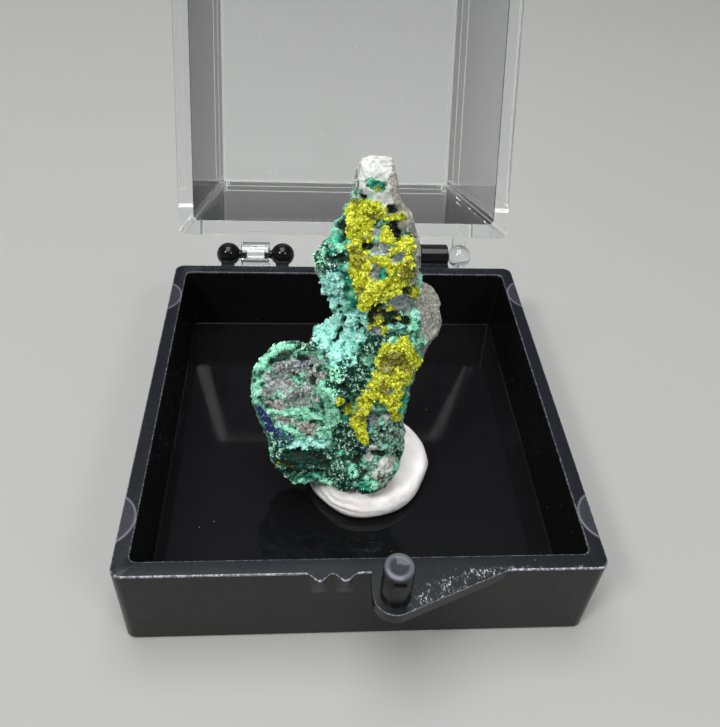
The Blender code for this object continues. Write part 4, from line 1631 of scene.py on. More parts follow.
PATCHES: dict[Surface, tuple[Patch, ...]] = {
    Surface.STONE: ovals(),
    Surface.DEEP: ovals(
        (-2.8, 14.0, 0.6, 0.95), (-1.7, 14.0, 0.85, 0.6), (-2.2, 13.3, 0.6, 0.5), (0.6, 7.0, 0.65, 0.9),
        (-0.6, 4.8, 1.2, 1.25), (-1.1, 3.3, 1.2, 0.95), (0.2, 3.6, 0.95, 1.05), (-3.6, 7.2, 0.8, 0.87),
        (-0.5, -3.2, 1.3, 1.2), (-0.6, -1.4, 1.1, 1.25), (-5.5, -2.7, 1.1, 0.7), (-4.2, -4.0, 2.3, 1.3),
        (-2.3, -4.6, 1.6, 1.75), (-5.5, -5.1, 1.3, 1.1), (-1.4, -6.4, 1.3, 1.25), (3.5, -3.4, 0.3, 0.6),
        (0.9, -2.2, 0.4, 0.6), (2.2, -0.7, 0.6, 0.35), (0.3, -5.6, 0.7, 0.9), (0.97, 7.1, 0.79, 0.66),
        (1.9, 7.6, 0.49, 0.36), (2.9, 7.7, 0.37, 0.18), (0.62, -7.4, 0.59, 0.54),
        (-0.3, 5.5, 0.53, 0.86), (-1.2, 4.1, 1.15, 1.1)),
    Surface.PALE_GREEN: ovals(
        (-0.8, 19.1, 0.4, 0.9), (-0.96, 18.2, 0.45, 0.6), (-3.65, 7.4, 0.85, 0.62),
        (2.9, 10.0, 0.66, 0.7), (2.9, -1.9, 1.3, 1.4), (2.5, 0.0, 0.7, 0.75), (2.6, -5.7, 0.75, 0.85),
        (1.7, -2.1, 0.6, 0.7), (1.45, -4.9, 0.6, 0.65), (3.46, 0.05, 0.35, 0.9)),
    Surface.TEAL: ovals(
        (0.5, 19.2, 0.5, 0.36, -10), (-1.4, 12.7, 0.63, 0.73), (-0.86, 11.7, 0.52, 0.67),
        (-0.6, 10.8, 0.41, 0.41), (-0.44, 10.0, 0.36, 0.49), (3.4, 1.7, 0.27, 0.92),
        (1.4, -7.1, 0.59, 0.8), (-2.1, 15.6, 0.55, 0.5), (-1.4, 14.9, 0.7, 0.4),
        (-2.2, 14.3, 0.45, 0.3), (-1.0, 12.3, 0.6, 1.1), (-0.6, 10.4, 0.45, 0.8),
        (1.37, 12.4, 0.29, 0.6, 10), (0.15, 15.9, 0.27, 0.3), (0.58, 17.1, 0.22, 0.22),
        (-0.73, 0.08, 0.32, 0.42), (-2.1, 1.0, 0.22, 0.22), (3.3, 2.0, 0.3, 0.5),
        (-0.84, -3.2, 0.3, 0.3), (1.2, -7.0, 0.7, 0.85), (-5.7, -5.1, 0.95, 0.27, -25),
        (-3.4, -5.7, 1.35, 0.33, 8), (3.0, 2.9, 0.3, 0.5)),
    Surface.TURQUOISE: ovals(
        (-2.1, 11.7, 0.8, 1.4), (-1.6, 10.4, 0.7, 0.65), (-1.9, 8.9, 1.2, 0.9), (-0.3, 9.0, 1.05, 0.95),
        (-2.4, 7.5, 0.95, 1.2), (-0.9, 7.6, 1.15, 1.5), (-1.2, 5.7, 1.0, 0.9),
        (3.7, 9.4, 0.3, 0.75, 10), (2.4, 8.5, 0.8, 0.2, 8), (-3.3, -2.1, 1.4, 0.46, -4),
        (-4.3, -2.5, 0.9, 0.4), (3.84, 11.8, 0.14, 0.5)),
    Surface.MATRIX: ovals(
        (-5.0, 4.9, 1.25, 0.85, 10), (-3.7, 5.4, 0.85, 0.85), (-6.4, 4.0, 0.5, 0.6),
        (-5.4, 3.2, 1.45, 0.85, -20), (-6.6, 2.8, 0.6, 0.5), (-3.7, 2.4, 0.95, 1.1),
        (-4.5, 1.9, 0.95, 0.6), (-3.3, 4.4, 0.7, 1.05)),
    Surface.BLUSH: ovals(
        (-6.0, 1.6, 0.85, 0.45, -12), (-5.3, 0.07, 0.75, 0.36, -22), (-3.45, -0.8, 0.85, 0.6, -25),
        (-2.66, 4.1, 0.3, 0.46)),
    Surface.MINT: ovals(
        (-6.25, 5.85, 0.46, 1.05, -40), (-5.8, 6.75, 0.9, 0.36, 20), (-4.9, 6.75, 0.9, 0.33, -15),
        (-7.0, 5.3, 0.42, 0.95, -10), (-7.5, 2.9, 0.42, 0.95), (-7.35, 1.9, 0.25, 0.5, 20),
        (-6.0, 0.9, 1.25, 0.3, -12), (-4.35, 0.9, 0.95, 0.36), (-3.2, 0.5, 0.95, 0.42, 10),
        (-5.4, -0.7, 0.95, 0.38, -40), (-3.9, -1.6, 1.25, 0.4, -20), (-2.7, 3.2, 0.3, 0.8),
        (-2.0, 2.2, 0.65, 1.0), (-2.5, -1.1, 0.7, 0.7), (-1.8, 0.3, 0.7, 1.0), (-1.7, 4.2, 0.5, 0.9),
        (-1.6, 14.7, 0.35, 0.3), (-2.0, 15.9, 0.3, 0.3), (-0.1, -5.0, 0.4, 0.7),
        (1.95, -0.1, 0.35, 0.55), (2.7, -2.5, 0.65, 0.3, 35), (1.8, -6.8, 0.36, 0.6),
        (-0.1, 1.1, 0.22, 0.42, -30), (-4.0, -6.2, 1.5, 0.25), (1.0, -6.0, 0.3, 0.5),
        (-2.75, 14.3, 0.18, 0.38), (-2.93, 13.5, 0.3, 0.29, -35), (3.66, 9.4, 0.36, 0.64),
        (3.57, 8.4, 0.61, 0.32, 15), (2.3, 7.3, 0.37, 0.44), (3.43, 7.0, 0.25, 0.37),
        (3.8, 11.65, 0.11, 0.41), (2.16, 8.5, 0.42, 0.2), (0.07, 18.7, 0.3, 0.27),
        (0.05, -5.4, 0.5, 0.6), (-1.95, -6.3, 0.5, 0.4, -40), (-6.6, -3.4, 0.28, 0.5)) + veins(
        (0.07, (-6.5, 4.8), (-5.6, 4.4), (-4.6, 3.7), (-4.0, 2.6)),
        (0.06, (-7.0, 3.8), (-6.4, 3.6), (-5.9, 3.0), (-5.4, 2.2)),
        (0.05, (-4.6, 3.7), (-4.9, 2.6), (-5.4, 2.2)),
        (0.08, (-3.1, 3.6), (-3.4, 2.2), (-2.8, 1.7)),
        (0.12, (-6.9, 0.6), (-6.4, -1.0), (-6.0, -2.2), (-6.6, -3.4)),
        (0.1, (-2.0, 14.5), (-1.7, 15.0), (-1.3, 15.3)),
        (0.1, (-2.3, 14.5), (-1.8, 14.3), (-1.3, 14.6), (-1.0, 15.1)),
        (0.12, (-3.3, 14.2), (-3.1, 13.8), (-2.8, 13.3)),
        (0.05, (-6.1, 4.6), (-5.5, 4.2), (-4.5, 3.8), (-3.9, 3.7)),
        (0.05, (-6.9, 3.7), (-6.1, 3.1), (-5.6, 2.2), (-4.9, 1.7)),
        (0.06, (-3.2, 4.4), (-3.3, 3.5), (-2.7, 2.6), (-2.5, 1.7)),
        (0.04, (-5.4, 2.8), (-4.7, 2.6), (-4.0, 3.0)),
        (0.09, (-3.9, 1.3), (-3.0, 1.5), (-2.3, 2.2))),
    Surface.STAIN: ovals(
        (-5.3, -1.4, 0.7, 0.55, -30), (-5.7, -0.7, 0.4, 0.55), (-5.4, -2.2, 0.6, 0.4)),
    Surface.AZURITE: ovals(
        (-6.65, -0.05, 0.36, 1.55, 24), (-6.2, -1.2, 0.36, 0.75, 20), (-3.9, 5.2, 0.28, 0.3),
        (0.82, 3.2, 0.24, 0.28), (1.27, -2.1, 0.2, 0.46), (1.0, 0.1, 0.11, 0.45),
        (0.9, -2.8, 0.24, 0.2)),
    Surface.QUARTZ: ovals(
        (0.5, 19.9, 1.2, 1.8), (0.9, 18.2, 0.75, 0.7), (1.3, -3.3, 0.4, 0.8, -22),
        (2.45, -4.8, 0.65, 1.2, -14), (2.75, 17.1, 0.41, 0.23), (2.3, 0.4, 0.36, 0.3),
        (3.7, 0.8, 0.22, 0.85), (3.55, -1.1, 0.25, 0.3), (2.1, 18.0, 0.3, 0.3)),
    Surface.PALE_STONE: ovals(
        (1.85, 19.0, 0.45, 1.9, 8), (-0.85, 19.9, 0.18, 0.5), (3.1, -4.0, 0.3, 0.5, -20),
        (1.8, -5.7, 0.22, 0.3), (2.45, -6.25, 0.36, 0.45), (2.7, 17.2, 0.4, 0.35)),
    Surface.VOLBORTHITE: ovals(
        (-0.05, 17.3, 1.05, 0.8), (1.07, 17.2, 0.75, 0.4), (-0.3, 15.8, 0.9, 0.65),
        (1.42, 15.6, 0.5, 0.72), (-0.6, 16.5, 0.55, 0.5), (2.4, 15.0, 0.4, 0.5, 25),
        (1.75, 14.4, 0.6, 0.3, 25), (2.85, 14.3, 0.3, 1.1), (1.3, 13.7, 0.8, 0.38),
        (-0.16, 13.1, 0.8, 0.9), (0.78, 13.6, 0.5, 0.36), (2.4, 13.1, 0.85, 0.6),
        (0.2, 12.1, 0.75, 0.85), (2.2, 12.1, 0.75, 0.5), (0.9, 11.35, 1.0, 0.85),
        (0.44, 10.3, 0.55, 0.55, 25), (3.42, 11.2, 0.28, 0.48), (1.96, 11.4, 0.55, 0.46),
        (2.1, 10.0, 0.38, 0.26, -35), (1.0, 9.2, 0.45, 0.7), (2.5, 9.4, 0.2, 0.2),
        (-0.4, 14.6, 0.75, 0.6), (2.7, 5.6, 1.45, 1.3), (2.5, 4.2, 1.35, 0.9), (1.9, 3.4, 1.0, 0.7),
        (1.6, 2.5, 0.85, 0.45), (0.64, 1.7, 0.45, 1.05), (2.6, 1.75, 0.75, 0.5, -20),
        (2.9, 0.8, 0.28, 0.63, 15), (0.27, -0.25, 0.55, 0.85), (0.5, -1.3, 0.4, 0.92, 20),
        (-0.5, 1.15, 0.2, 0.26), (2.94, 2.5, 0.34, 0.43), (3.1, 7.15, 0.34, 0.41),
        (1.57, 8.2, 0.24, 0.25), (2.0, 6.85, 0.25, 0.3), (3.39, 11.2, 0.27, 0.34),
        (2.3, 9.5, 0.21, 0.13), (-1.25, 1.9, 0.18, 0.21), (-0.5, 1.1, 0.27, 0.3),
        (1.54, 16.9, 0.36, 0.2), (0.75, 17.3, 0.46, 0.3)),
    # Where volborthite is darkened as painted shade.
    Surface.SHADED_VOLBORTHITE: ovals(
        (0.5, 18.95, 0.2, 0.17), (-0.65, 18.0, 0.3, 0.14), (-0.3, 13.8, 0.6, 0.5),
        (2.75, 12.7, 0.64, 0.3), (0.5, 12.7, 0.3, 0.2), (-0.1, 11.6, 0.3, 0.25), (1.6, 4.9, 0.35, 0.6),
        (1.0, 10.7, 0.4, 0.2), (2.5, 5.7, 1.05, 0.6, 10), (3.2, 5.1, 0.6, 0.5, -20),
        (2.3, 4.6, 0.8, 0.28, 10), (2.9, 3.9, 0.4, 0.25), (0.5, 0.3, 0.2, 0.5),
        (1.3, 11.0, 0.5, 0.2, 20), (0.3, 17.0, 0.4, 0.2, -20), (2.9, 13.9, 0.2, 0.4),
        (0.1, 15.4, 0.4, 0.16), (1.2, 9.5, 0.36, 0.42), (-3.3, -3.6, 0.56, 0.18),
        (-4.8, -4.55, 0.43, 0.23), (2.4, 16.9, 0.35, 0.32), (-0.45, 13.85, 0.5, 0.7),
        (-0.7, 14.6, 0.35, 0.32), (2.6, 12.9, 0.6, 0.33), (1.9, 3.1, 0.26, 0.5), (1.25, 2.1, 0.4, 0.25),
        (-4.8, -4.6, 0.3, 0.3), (-5.2, -4.2, 0.2, 0.3), (-5.7, -4.3, 0.35, 0.36)),
    Surface.WINDOW: ovals(
        (0.7, 15.9, 0.32, 0.33), (1.04, 14.6, 0.68, 0.5, -15), (2.17, 13.96, 0.45, 0.43),
        (0.76, 12.8, 0.3, 0.62, 15), (2.7, 10.5, 0.75, 0.68, -10), (3.3, 10.6, 0.33, 0.32),
        (1.0, 8.1, 0.34, 0.36), (1.55, 17.4, 0.28, 0.4), (1.35, 0.1, 0.38, 0.6),
        (2.46, 2.8, 0.24, 0.24), (3.1, 10.1, 0.45, 0.42), (1.1, 8.1, 0.33, 0.32)),
    # Dark recesses painted as shadow, under overhangs and in crevices.
    Surface.SHADOW_POCKET: ovals(
        (-5.4, 6.0, 1.08, 0.3, 35), (-4.0, 6.0, 0.5, 0.26), (-3.1, 5.0, 0.26, 0.5),
        (-4.4, 4.0, 0.2, 0.33), (-3.3, 3.9, 0.27, 0.42), (-4.1, -3.9, 2.0, 1.0), (-5.4, -4.2, 0.6, 0.6),
        (-2.5, -4.5, 0.7, 0.6), (1.8, 16.45, 0.42, 0.31), (2.04, 15.8, 0.28, 0.63),
        (-1.55, 16.3, 0.4, 0.4), (-1.5, 15.5, 0.25, 0.42), (0.08, 14.8, 0.28, 0.28),
        (2.93, 11.5, 0.36, 0.36), (1.1, 10.1, 0.4, 0.3), (1.95, 9.5, 0.75, 0.45),
        (3.06, 8.96, 0.4, 0.4), (3.44, 12.6, 0.14, 0.5), (0.7, 9.26, 0.2, 0.45),
        (0.2, -3.8, 0.36, 0.48), (0.8, -5.3, 0.24, 0.45), (2.2, -1.1, 0.35, 0.17),
        (1.97, -3.3, 0.48, 0.2), (-0.73, 1.76, 0.14, 0.36), (-1.0, 3.2, 0.38, 0.35),
        (-5.2, -5.3, 0.6, 0.3), (1.26, 1.9, 0.25, 0.2), (-1.5, 10.2, 0.41, 0.12, 10),
        (-1.3, 8.65, 0.12, 0.6, -20), (-1.6, 13.9, 0.42, 0.3), (1.66, 17.4, 0.4, 0.26),
        (1.42, 9.66, 0.6, 0.36), (2.1, 8.85, 0.84, 0.26), (-0.2, 18.35, 0.24, 0.12)) + veins(
        (0.17, (-6.5, 5.2), (-6.1, 5.7), (-5.6, 6.2), (-5.1, 6.35), (-4.6, 6.1), (-4.0, 5.7)),
        (0.08, (-3.1, 4.0), (-2.9, 4.6), (-2.7, 5.5)),
        (0.06, (-5.2, 4.6), (-4.6, 4.1), (-4.1, 4.2)),
        (0.07, (-1.3, 9.5), (-1.2, 8.8), (-1.4, 8.0), (-1.8, 7.2)),
        (0.06, (-0.2, 8.4), (0.2, 8.3), (0.5, 7.7))),
}


@dataclass
class MineralBody:
    """The specimen's own body: the frame's solid, refined, with every crust raised in the mesh."""

    finish: MineralFinish
    front: FrontMap = field(default_factory=FrontMap)
    soft_edge: float = 0.5
    wander: float = 0.22
    widened: dict[Surface, float] = field(default_factory=lambda: {
        Surface.VOLBORTHITE: 0.1, Surface.MINT: -0.05})
    voxel: float = 0.0001
    smoothing: int = 5
    # The lowest level of each surface, which limits how dark its painted shade gets.
    floors: dict[Surface, float] = field(default_factory=lambda: {
        Surface.QUARTZ: 0.4, Surface.PALE_STONE: 0.4, Surface.STONE: 0.4, Surface.VOLBORTHITE: 0.4,
        Surface.AZURITE: 0.4, Surface.TURQUOISE: 0.15, Surface.MATRIX: 0.38, Surface.MINT: 0.34,
        Surface.WINDOW: 0.4})

    def patchwork(self, flat: np.ndarray, patches: Sequence[Patch], wobble: np.ndarray,
                  grow: float) -> np.ndarray:
        """Blends a surface's patches into one mask with a soft, wandering edge.

        Args:
            flat: Places on the front map.
            patches: The patches.
            wobble: A noise for each place, about -1 to 1.
            grow: How far every patch is widened, in millimetres.

        Returns:
            The mask, from 0 to 1, with the edge at 0.5.
        """
        best = np.full(len(flat), -2.0 - grow)
        for patch in patches:
            turn = math.radians(patch.lean)
            x, z = flat[:, 0] - patch.x, flat[:, 1] - patch.z
            across = (x * math.cos(turn) + z * math.sin(turn)) / patch.half_width
            along = (z * math.cos(turn) - x * math.sin(turn)) / patch.half_height
            size = min(patch.half_width, patch.half_height)
            best = np.maximum(best, (1.0 - np.hypot(across, along)) * size)
        return np.clip(0.5 + (best + grow + self.wander * wobble) / self.soft_edge, 0.0, 1.0)

    def fine_mesh(self) -> Piece:
        """Refines a copy of the frame's solid into an even, fine mesh."""
        source = frame["nodes"]["specimen"]
        data = source.data.copy()
        data.transform(source.matrix_world)
        body = bpy.data.objects.new("mineral_body", data)
        bpy.context.scene.collection.objects.link(body)
        remesh = body.modifiers.new("Even", "REMESH")
        remesh.mode = "VOXEL"
        remesh.voxel_size = self.voxel
        smooth = body.modifiers.new("Ease", "SMOOTH")
        smooth.factor, smooth.iterations = 0.5, self.smoothing
        Shapes.apply(body)
        return body

    @staticmethod
    def sampled(points: np.ndarray, sample: Callable[[Vector], float]) -> np.ndarray:
        """Reads a noise at every point.

        Args:
            points: The places.
            sample: The noise.

        Returns:
            Its values.
        """
        return np.array([sample(Vector(point)) for point in points.tolist()])

    @classmethod
    def rough(cls, points: np.ndarray, scale: float, shift: Sequence[float], roughness: float,
              spread: float, octaves: int) -> np.ndarray:
        """Reads a fractal noise at every point.

        Args:
            points: The places.
            scale: Its scale, per millimetre.
            shift: How far it is moved.
            roughness: How fast its finer octaves fade.
            spread: How much finer each octave is.
            octaves: Their number.

        Returns:
            Its values.
        """
        moved = Vector(shift)
        return cls.sampled(
            points, lambda p: noise.fractal(p * scale + moved, roughness, spread, octaves))

    def masks(self, points: np.ndarray, normals: np.ndarray) -> dict[Surface, np.ndarray]:
        """Works out how much of each surface shows at every point.

        Args:
            points: Places in millimetres.
            normals: The smooth body's normals.

        Returns:
            The masks by surface.
        """
        flat = self.front.flatten(points)
        facing = self.front.facing(points, normals)
        coarse = self.rough(points, 1.5, (0.0, 0.0, 0.0), 0.6, 2.1, 5)
        other = self.rough(points, 1.9, (9.0, 4.0, 2.0), 0.6, 2.1, 5)
        shown = {}
        for index, (surface, patches) in enumerate(PATCHES.items()):
            wobble = coarse if index % 2 else other
            if not patches:
                shown[surface] = np.zeros(len(points))
                continue
            mask = self.patchwork(flat, patches, wobble, self.widened.get(surface, 0.0))
            shown[surface] = mask * facing
        shown[Surface.QUARTZ] *= 1.0 - np.clip(1.6 * shown[Surface.TEAL], 0.0, 1.0)
        x, y, z = points.T
        # Bare stone: the right flank, beyond a plane that leans with height, and what faces away.
        beyond = x - 2.0 - 0.07 * (12.0 - z) + 1.1 * (y + 2.4) + 0.5 * coarse
        flank = np.clip(beyond * 0.9 + 0.5, 0.0, 1.0)
        flank *= np.clip((z + 4.0) / 2.0, 0.0, 1.0)
        behind = np.clip((1.0 - facing) * 1.2 + 0.8 * other - 0.25, 0.0, 1.0)
        covered = np.clip(shown[Surface.VOLBORTHITE] * 2.0, 0.0, 1.0)
        shown[Surface.STONE] = np.maximum(flank, behind) * (1.0 - covered)
        # A green stain spreads in clouds over the left of the back.
        stain = np.clip((other - coarse) * 0.9 + 0.1, 0.0, 1.0)
        stain = stain * (1.0 - facing) * np.clip(0.5 - x, 0.0, 1.0)
        shown[Surface.MINT] = np.maximum(shown[Surface.MINT], stain)
        shown[Surface.PALE_GREEN] = np.maximum(shown[Surface.PALE_GREEN], 0.8 * stain)
        return shown

    def raise_crusts(self, points: np.ndarray,
                     shown: dict[Surface, np.ndarray]) -> tuple[np.ndarray, np.ndarray]:
        """Works out how far each point stands proud of the smooth body.

        Args:
            points: Places in millimetres.
            shown: The masks by surface.

        Returns:
            The heights in millimetres, and how high each point is on its own crust, from 0 to 1, which
            sets how much painted shade it gets.
        """
        def cells(scale: float) -> np.ndarray:
            """Reads round cells: 1 in the middle of each, down to 0 at its edge."""
            return self.sampled(points, lambda p: max(0.0, 1.0 - noise.voronoi(p * scale)[0][0] * 1.4))

        def crisp(surface: Surface) -> np.ndarray:
            """Sharpens one surface's mask."""
            return np.clip((shown[surface] - 0.35) / 0.3, 0.0, 1.0)

        lumps, beads, grit = cells(1.5), cells(3.2), cells(5.5)
        fine = self.rough(points, 3.6, (0.0, 0.0, 0.0), 0.7, 2.1, 4)
        broken = self.rough(points, 1.2, (2.0, 8.0, 5.0), 0.9, 2.0, 4)
        cracks = self.sampled(
            points, lambda p: min(1.0, 1.5 * np.subtract(*noise.voronoi(p * 0.55)[0][1::-1])))
        tip = np.clip((points[:, 2] - 17.0) / 1.5, 0.0, 1.0)
        height = (0.10 * broken + 0.05 * fine) * (1.0 - 0.6 * tip)
        # The level sets the painted shade: low places are darkened, the highest lightened.
        level = np.clip(0.6 + 0.5 * broken + 0.8 * fine, 0.0, 1.0)
        # How far each kind of surface stands proud, in millimetres.
        rules: dict[Surface, np.ndarray] = {
            Surface.STONE: 0.03 * grit + 0.04 * fine - 0.02,
            Surface.MATRIX: 0.07 * beads + 0.10 * fine - 0.14,
            Surface.BLUSH: 0.09 * beads + 0.08 * fine - 0.05,
            Surface.DEEP: 0.26 * beads + 0.06 * grit - 0.14,
            Surface.TEAL: 0.22 * lumps + 0.08 * beads + 0.04 * fine - 0.06,
            Surface.TURQUOISE: 0.30 * lumps + 0.16 * beads + 0.06 * grit + 0.14 * fine - 0.08,
            Surface.MINT: 0.13 * beads + 0.08 * grit + 0.08 * fine + 0.05,
            Surface.AZURITE: 0.06 * beads,
            Surface.QUARTZ: 0.05 * fine + 0.04 * cracks,
            Surface.PALE_STONE: 0.03 * grit + 0.04 * fine,
            Surface.PALE_GREEN: 0.08 * beads,
            Surface.VOLBORTHITE: 0.04 * lumps + 0.08 * grit + 0.17 * fine + 0.05 * cracks + 0.09,
            Surface.WINDOW: -0.18 + 0.03 * fine,
            Surface.SHADOW_POCKET: -0.36 + 0.08 * beads,
        }
        for surface, rule in rules.items():
            share = crisp(surface)
            height = height * (1.0 - 0.6 * share) + rule * share
            here = share > 0.5
            if here.any() and surface is not Surface.SHADOW_POCKET:
                low, high = np.percentile(rule[here], (6, 90))
                own = np.clip((rule - low) / (high - low), self.floors.get(surface, 0.0), 1.0)
                level = level * (1.0 - share) + own * share
        # Dark recesses get a low level, for deeper painted shade.
        level *= 1.0 - 0.65 * crisp(Surface.SHADOW_POCKET)
        # The relief fades out in the putty.
        foot = np.clip((points[:, 2] + 4.6) / 1.0, 0.0, 1.0)
        return height * foot, level

    def build(self) -> Piece:
        """Builds and dresses the body.

        Returns:
            The body's object, with its masks stored on its points.
        """
        body = self.fine_mesh()
        data = body.data
        count = len(data.vertices)
        places, normals = (read_points(data.vertices, key, count, 3, np.float64)
                           for key in ("co", "normal"))
        points = (places - np.array((0.0, 0.0, RIM_Z))) / MM
        shown = self.masks(points, normals)
        height, level = self.raise_crusts(points, shown)
        data.vertices.foreach_set("co", (places + normals * height[:, None] * MM).ravel())
        stored = {surface.value: mask for surface, mask in shown.items()} | {"raised": level}
        for label, values in stored.items():
            layer = data.attributes.new(label, "FLOAT", "POINT")
            layer.data.foreach_set("value", values.astype(np.float32))
        data.update()
        data.shade_smooth()
        data.materials.clear()
        data.materials.append(self.finish.make())
        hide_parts("specimen")
        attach(body, "base")
        return body


@dataclass
class GrainCrust:
    """Small grains or plates that grow on one kind of surface, joined in one mesh."""

    name: str
    surfaces: tuple[Surface, ...]
    finish: GrainFinish
    count: int
    radius: Pair
    flatness: float
    seed: int
    sides: int = 5
    sink: float = 0.25
    tilt: float = 0.6
    low: bool = False
    jitter: float = 0.00005

    def template(self) -> tuple[np.ndarray, np.ndarray]:
        """Makes one grain of radius 1: a bipyramid with flat ends.

        Returns:
            Its points and its triangles.
        """
        angles = np.arange(self.sides) * 2 * np.pi / self.sides
        rings = []
        for radius, height in ((0.62, -1.0), (1.0, -0.2), (1.0, 0.25), (0.6, 1.0)):
            rings.append(np.stack([radius * np.cos(angles), radius * np.sin(angles),
                                   np.full(self.sides, height * self.flatness)], axis=1))
        faces = []
        for level in range(3):
            for i in range(self.sides):
                j = (i + 1) % self.sides
                a, b = level * self.sides + i, level * self.sides + j
                faces += [(a, b, b + self.sides), (a, b + self.sides, a + self.sides)]
        top = 3 * self.sides
        for i in range(1, self.sides - 1):
            faces += [(0, i + 1, i), (top, top + i, top + i + 1)]
        return np.concatenate(rings), np.array(faces)

    def weights(self, data: bpy.types.Mesh, raised: np.ndarray) -> np.ndarray:
        """Works out how likely every point of the body is to hold a grain.

        Args:
            data: The body's mesh, with its masks.
            raised: How high each point is on its own crust.

        Returns:
            The weights, not yet scaled to a sum of 1.
        """
        count = len(raised)
        weight = np.zeros(count)
        for surface in self.surfaces:
            mask = read_points(data.attributes[surface.value].data, "value", count)
            weight = np.maximum(weight, np.clip((mask - 0.5) / 0.25, 0.0, 1.0))
        for surface in KEPT_CLEAR:
            if surface not in self.surfaces:
                mask = read_points(data.attributes[surface.value].data, "value", count)
                weight *= np.clip((0.6 - mask) / 0.2, 0.0, 1.0)
        # Grains marked low gather in low places, the others on high ground; for the dark beads this
        # paints shade into the low places.
        return weight * (0.12 + (1.0 - raised if self.low else raised)) ** 2

    def stand(self, random: np.random.Generator, normals: np.ndarray, size: np.ndarray) -> np.ndarray:
        """Turns every grain its own way about its point's normal.

        Args:
            random: The crust's random numbers.
            normals: The normals at the grains' points.
            size: The grains' radii.

        Returns:
            Each grain's three axes, as long as its radius.
        """
        up = normals + random.normal(0.0, self.tilt, (self.count, 3))
        up /= np.linalg.norm(up, axis=1)[:, None]
        side = np.cross(up, random.normal(size=(self.count, 3)))
        side /= np.linalg.norm(side, axis=1)[:, None]
        return np.stack([side, np.cross(up, side), up], axis=1) * size[:, None, None]

    def build(self, body: Piece) -> Piece:
        """Strews the grains over the body and dresses them.

        Args:
            body: The specimen's body, with its masks.

        Returns:
            The crust's object.
        """
        data = body.data
        count = len(data.vertices)
        places, normals = (read_points(data.vertices, key, count, 3, np.float64)
                           for key in ("co", "normal"))
        raised = read_points(data.attributes["raised"].data, "value", count)
        weight = self.weights(data, raised)
        random = np.random.default_rng(self.seed)
        picked = random.choice(count, size=self.count, p=weight / weight.sum())
        size = random.uniform(*self.radius, self.count)
        axes = self.stand(random, normals[picked], size)
        points, faces = self.template()
        shift = np.cross(normals[picked], random.normal(0.0, self.jitter, (self.count, 3)))
        sunk = normals[picked] * (size * self.flatness * self.sink)[:, None]
        middle = places[picked] + shift - sunk
        all_points = np.einsum("ij,njk->nik", points, axes) + middle[:, None, :]
        all_faces = faces[None] + (np.arange(self.count) * len(points))[:, None, None]
        mesh = bpy.data.meshes.new(self.name)
        mesh.from_pydata(all_points.reshape(-1, 3), [], all_faces.reshape(-1, 3).tolist())
        # Part of each grain's tone is random; the rest follows the body's level, so grains in low
        # places are darker: painted shade.
        tone = 0.55 * random.uniform(0.0, 1.0, self.count) + 0.45 * raised[picked]
        tone = np.repeat(tone, len(points)).astype(np.float32)
        mesh.attributes.new("tone", "FLOAT", "POINT").data.foreach_set("value", tone)
        mesh.materials.append(self.finish.make())
        crust = bpy.data.objects.new(self.name, mesh)
        bpy.context.scene.collection.objects.link(crust)
        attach(crust, "base")
        return crust


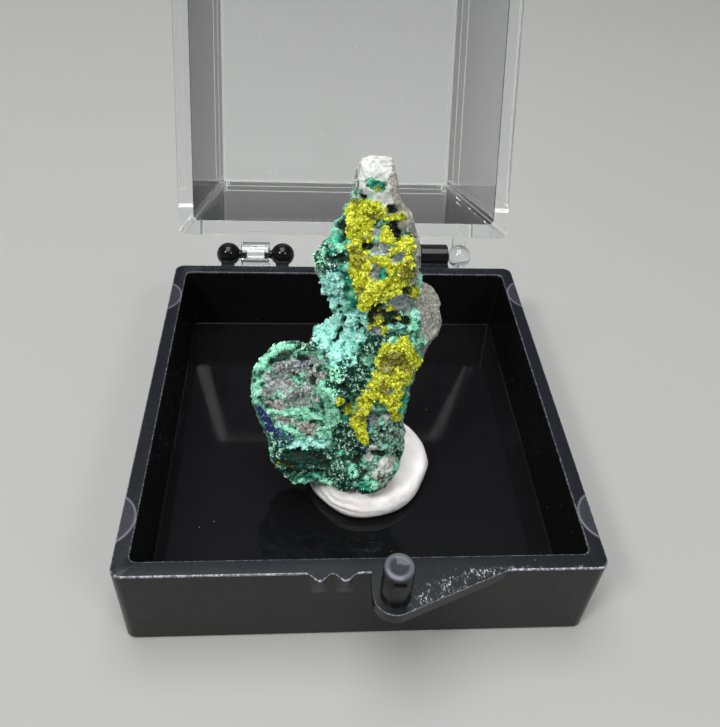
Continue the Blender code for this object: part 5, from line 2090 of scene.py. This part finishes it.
CRUSTS = (
    GrainCrust("volborthite_plates", (Surface.VOLBORTHITE,), GrainFinish(
        "volborthite plates", srgb(242, 246, 104), srgb(210, 217, 42), srgb(124, 126, 16), 0.85),
        5900, (0.00004, 0.000095), 0.16, seed=11, sides=4, tilt=1.6),
    # Volborthite plates darkened as painted shade.
    GrainCrust("shaded_volborthite_plates", (Surface.SHADED_VOLBORTHITE,), GrainFinish(
        "shaded volborthite plates", srgb(204, 208, 58), srgb(152, 155, 26), srgb(76, 76, 10), 0.85),
        1100, (0.00004, 0.00009), 0.16, seed=18, sides=4, tilt=1.6),
    GrainCrust("pale_beads", (Surface.DEEP, Surface.PALE_GREEN), GrainFinish(
        "pale malachite beads", srgb(222, 246, 230), srgb(164, 226, 196), srgb(66, 156, 128)),
        1700, (0.00002, 0.00006), 0.85, seed=12, sink=0.4),
    # Dark beads gather in low places and on the dark recesses: their own dark green, placed as painted
    # shade.
    GrainCrust("dark_beads", (Surface.DEEP, Surface.SHADOW_POCKET), GrainFinish(
        "dark malachite beads", srgb(34, 118, 94), srgb(8, 58, 46), srgb(1, 18, 14), 0.4),
        2400, (0.00006, 0.00012), 0.9, seed=13, sink=0.5, low=True),
    GrainCrust("mint_grains", (Surface.MINT,), GrainFinish(
        "mint grains", srgb(214, 248, 228), srgb(136, 224, 186), srgb(50, 158, 122), 0.65),
        4200, (0.00002, 0.000055), 0.8, seed=14, sink=0.5),
    GrainCrust("turquoise_grains", (Surface.TURQUOISE,), GrainFinish(
        "turquoise grains", srgb(212, 247, 238), srgb(150, 226, 212), srgb(72, 162, 150), 0.65),
        1800, (0.00004, 0.00009), 0.8, seed=15, sink=0.5),
    GrainCrust("matrix_grit", (Surface.MATRIX, Surface.BLUSH), GrainFinish(
        "matrix grit", srgb(204, 209, 207), srgb(146, 151, 150), srgb(74, 78, 79), 0.8),
        1500, (0.00003, 0.00006), 0.8, seed=16, sink=0.5),
    GrainCrust("stone_grit", (Surface.STONE, Surface.PALE_STONE), GrainFinish(
        "stone grit", srgb(204, 202, 193), srgb(142, 141, 133), srgb(74, 75, 72), 0.85),
        4000, (0.00002, 0.00004), 0.8, seed=17, sink=0.5),
)


@dataclass
class Specimen:
    """The whole specimen: its body and the crusts of grains that grow on it."""

    effects: Effects

    def build(self) -> list[Piece]:
        """Builds the body and its crusts.

        Returns:
            Their objects.
        """
        body = MineralBody(MineralFinish(self.effects)).build()
        return [body] + [crust.build(body) for crust in CRUSTS]


def main() -> None:
    """Builds the stage and every sub-assembly."""
    logging.basicConfig(level=logging.INFO, format="%(name)s: %(message)s")
    Studio().build()
    effects = Effects()
    hinge, latch = HingeSizes(), LatchSizes()
    pieces = [
        TrayMoulding(BlackPlastic(effects), hinge, latch).build(),
        ClearLid(effects, hinge, latch).build(),
        PuttyPad(PuttyFinish()).build(),
        *Specimen(effects).build(),
    ]
    for piece in pieces:
        log.info("%s: %d faces", piece.name, len(piece.data.polygons))


if __name__ == "__main__":
    main()
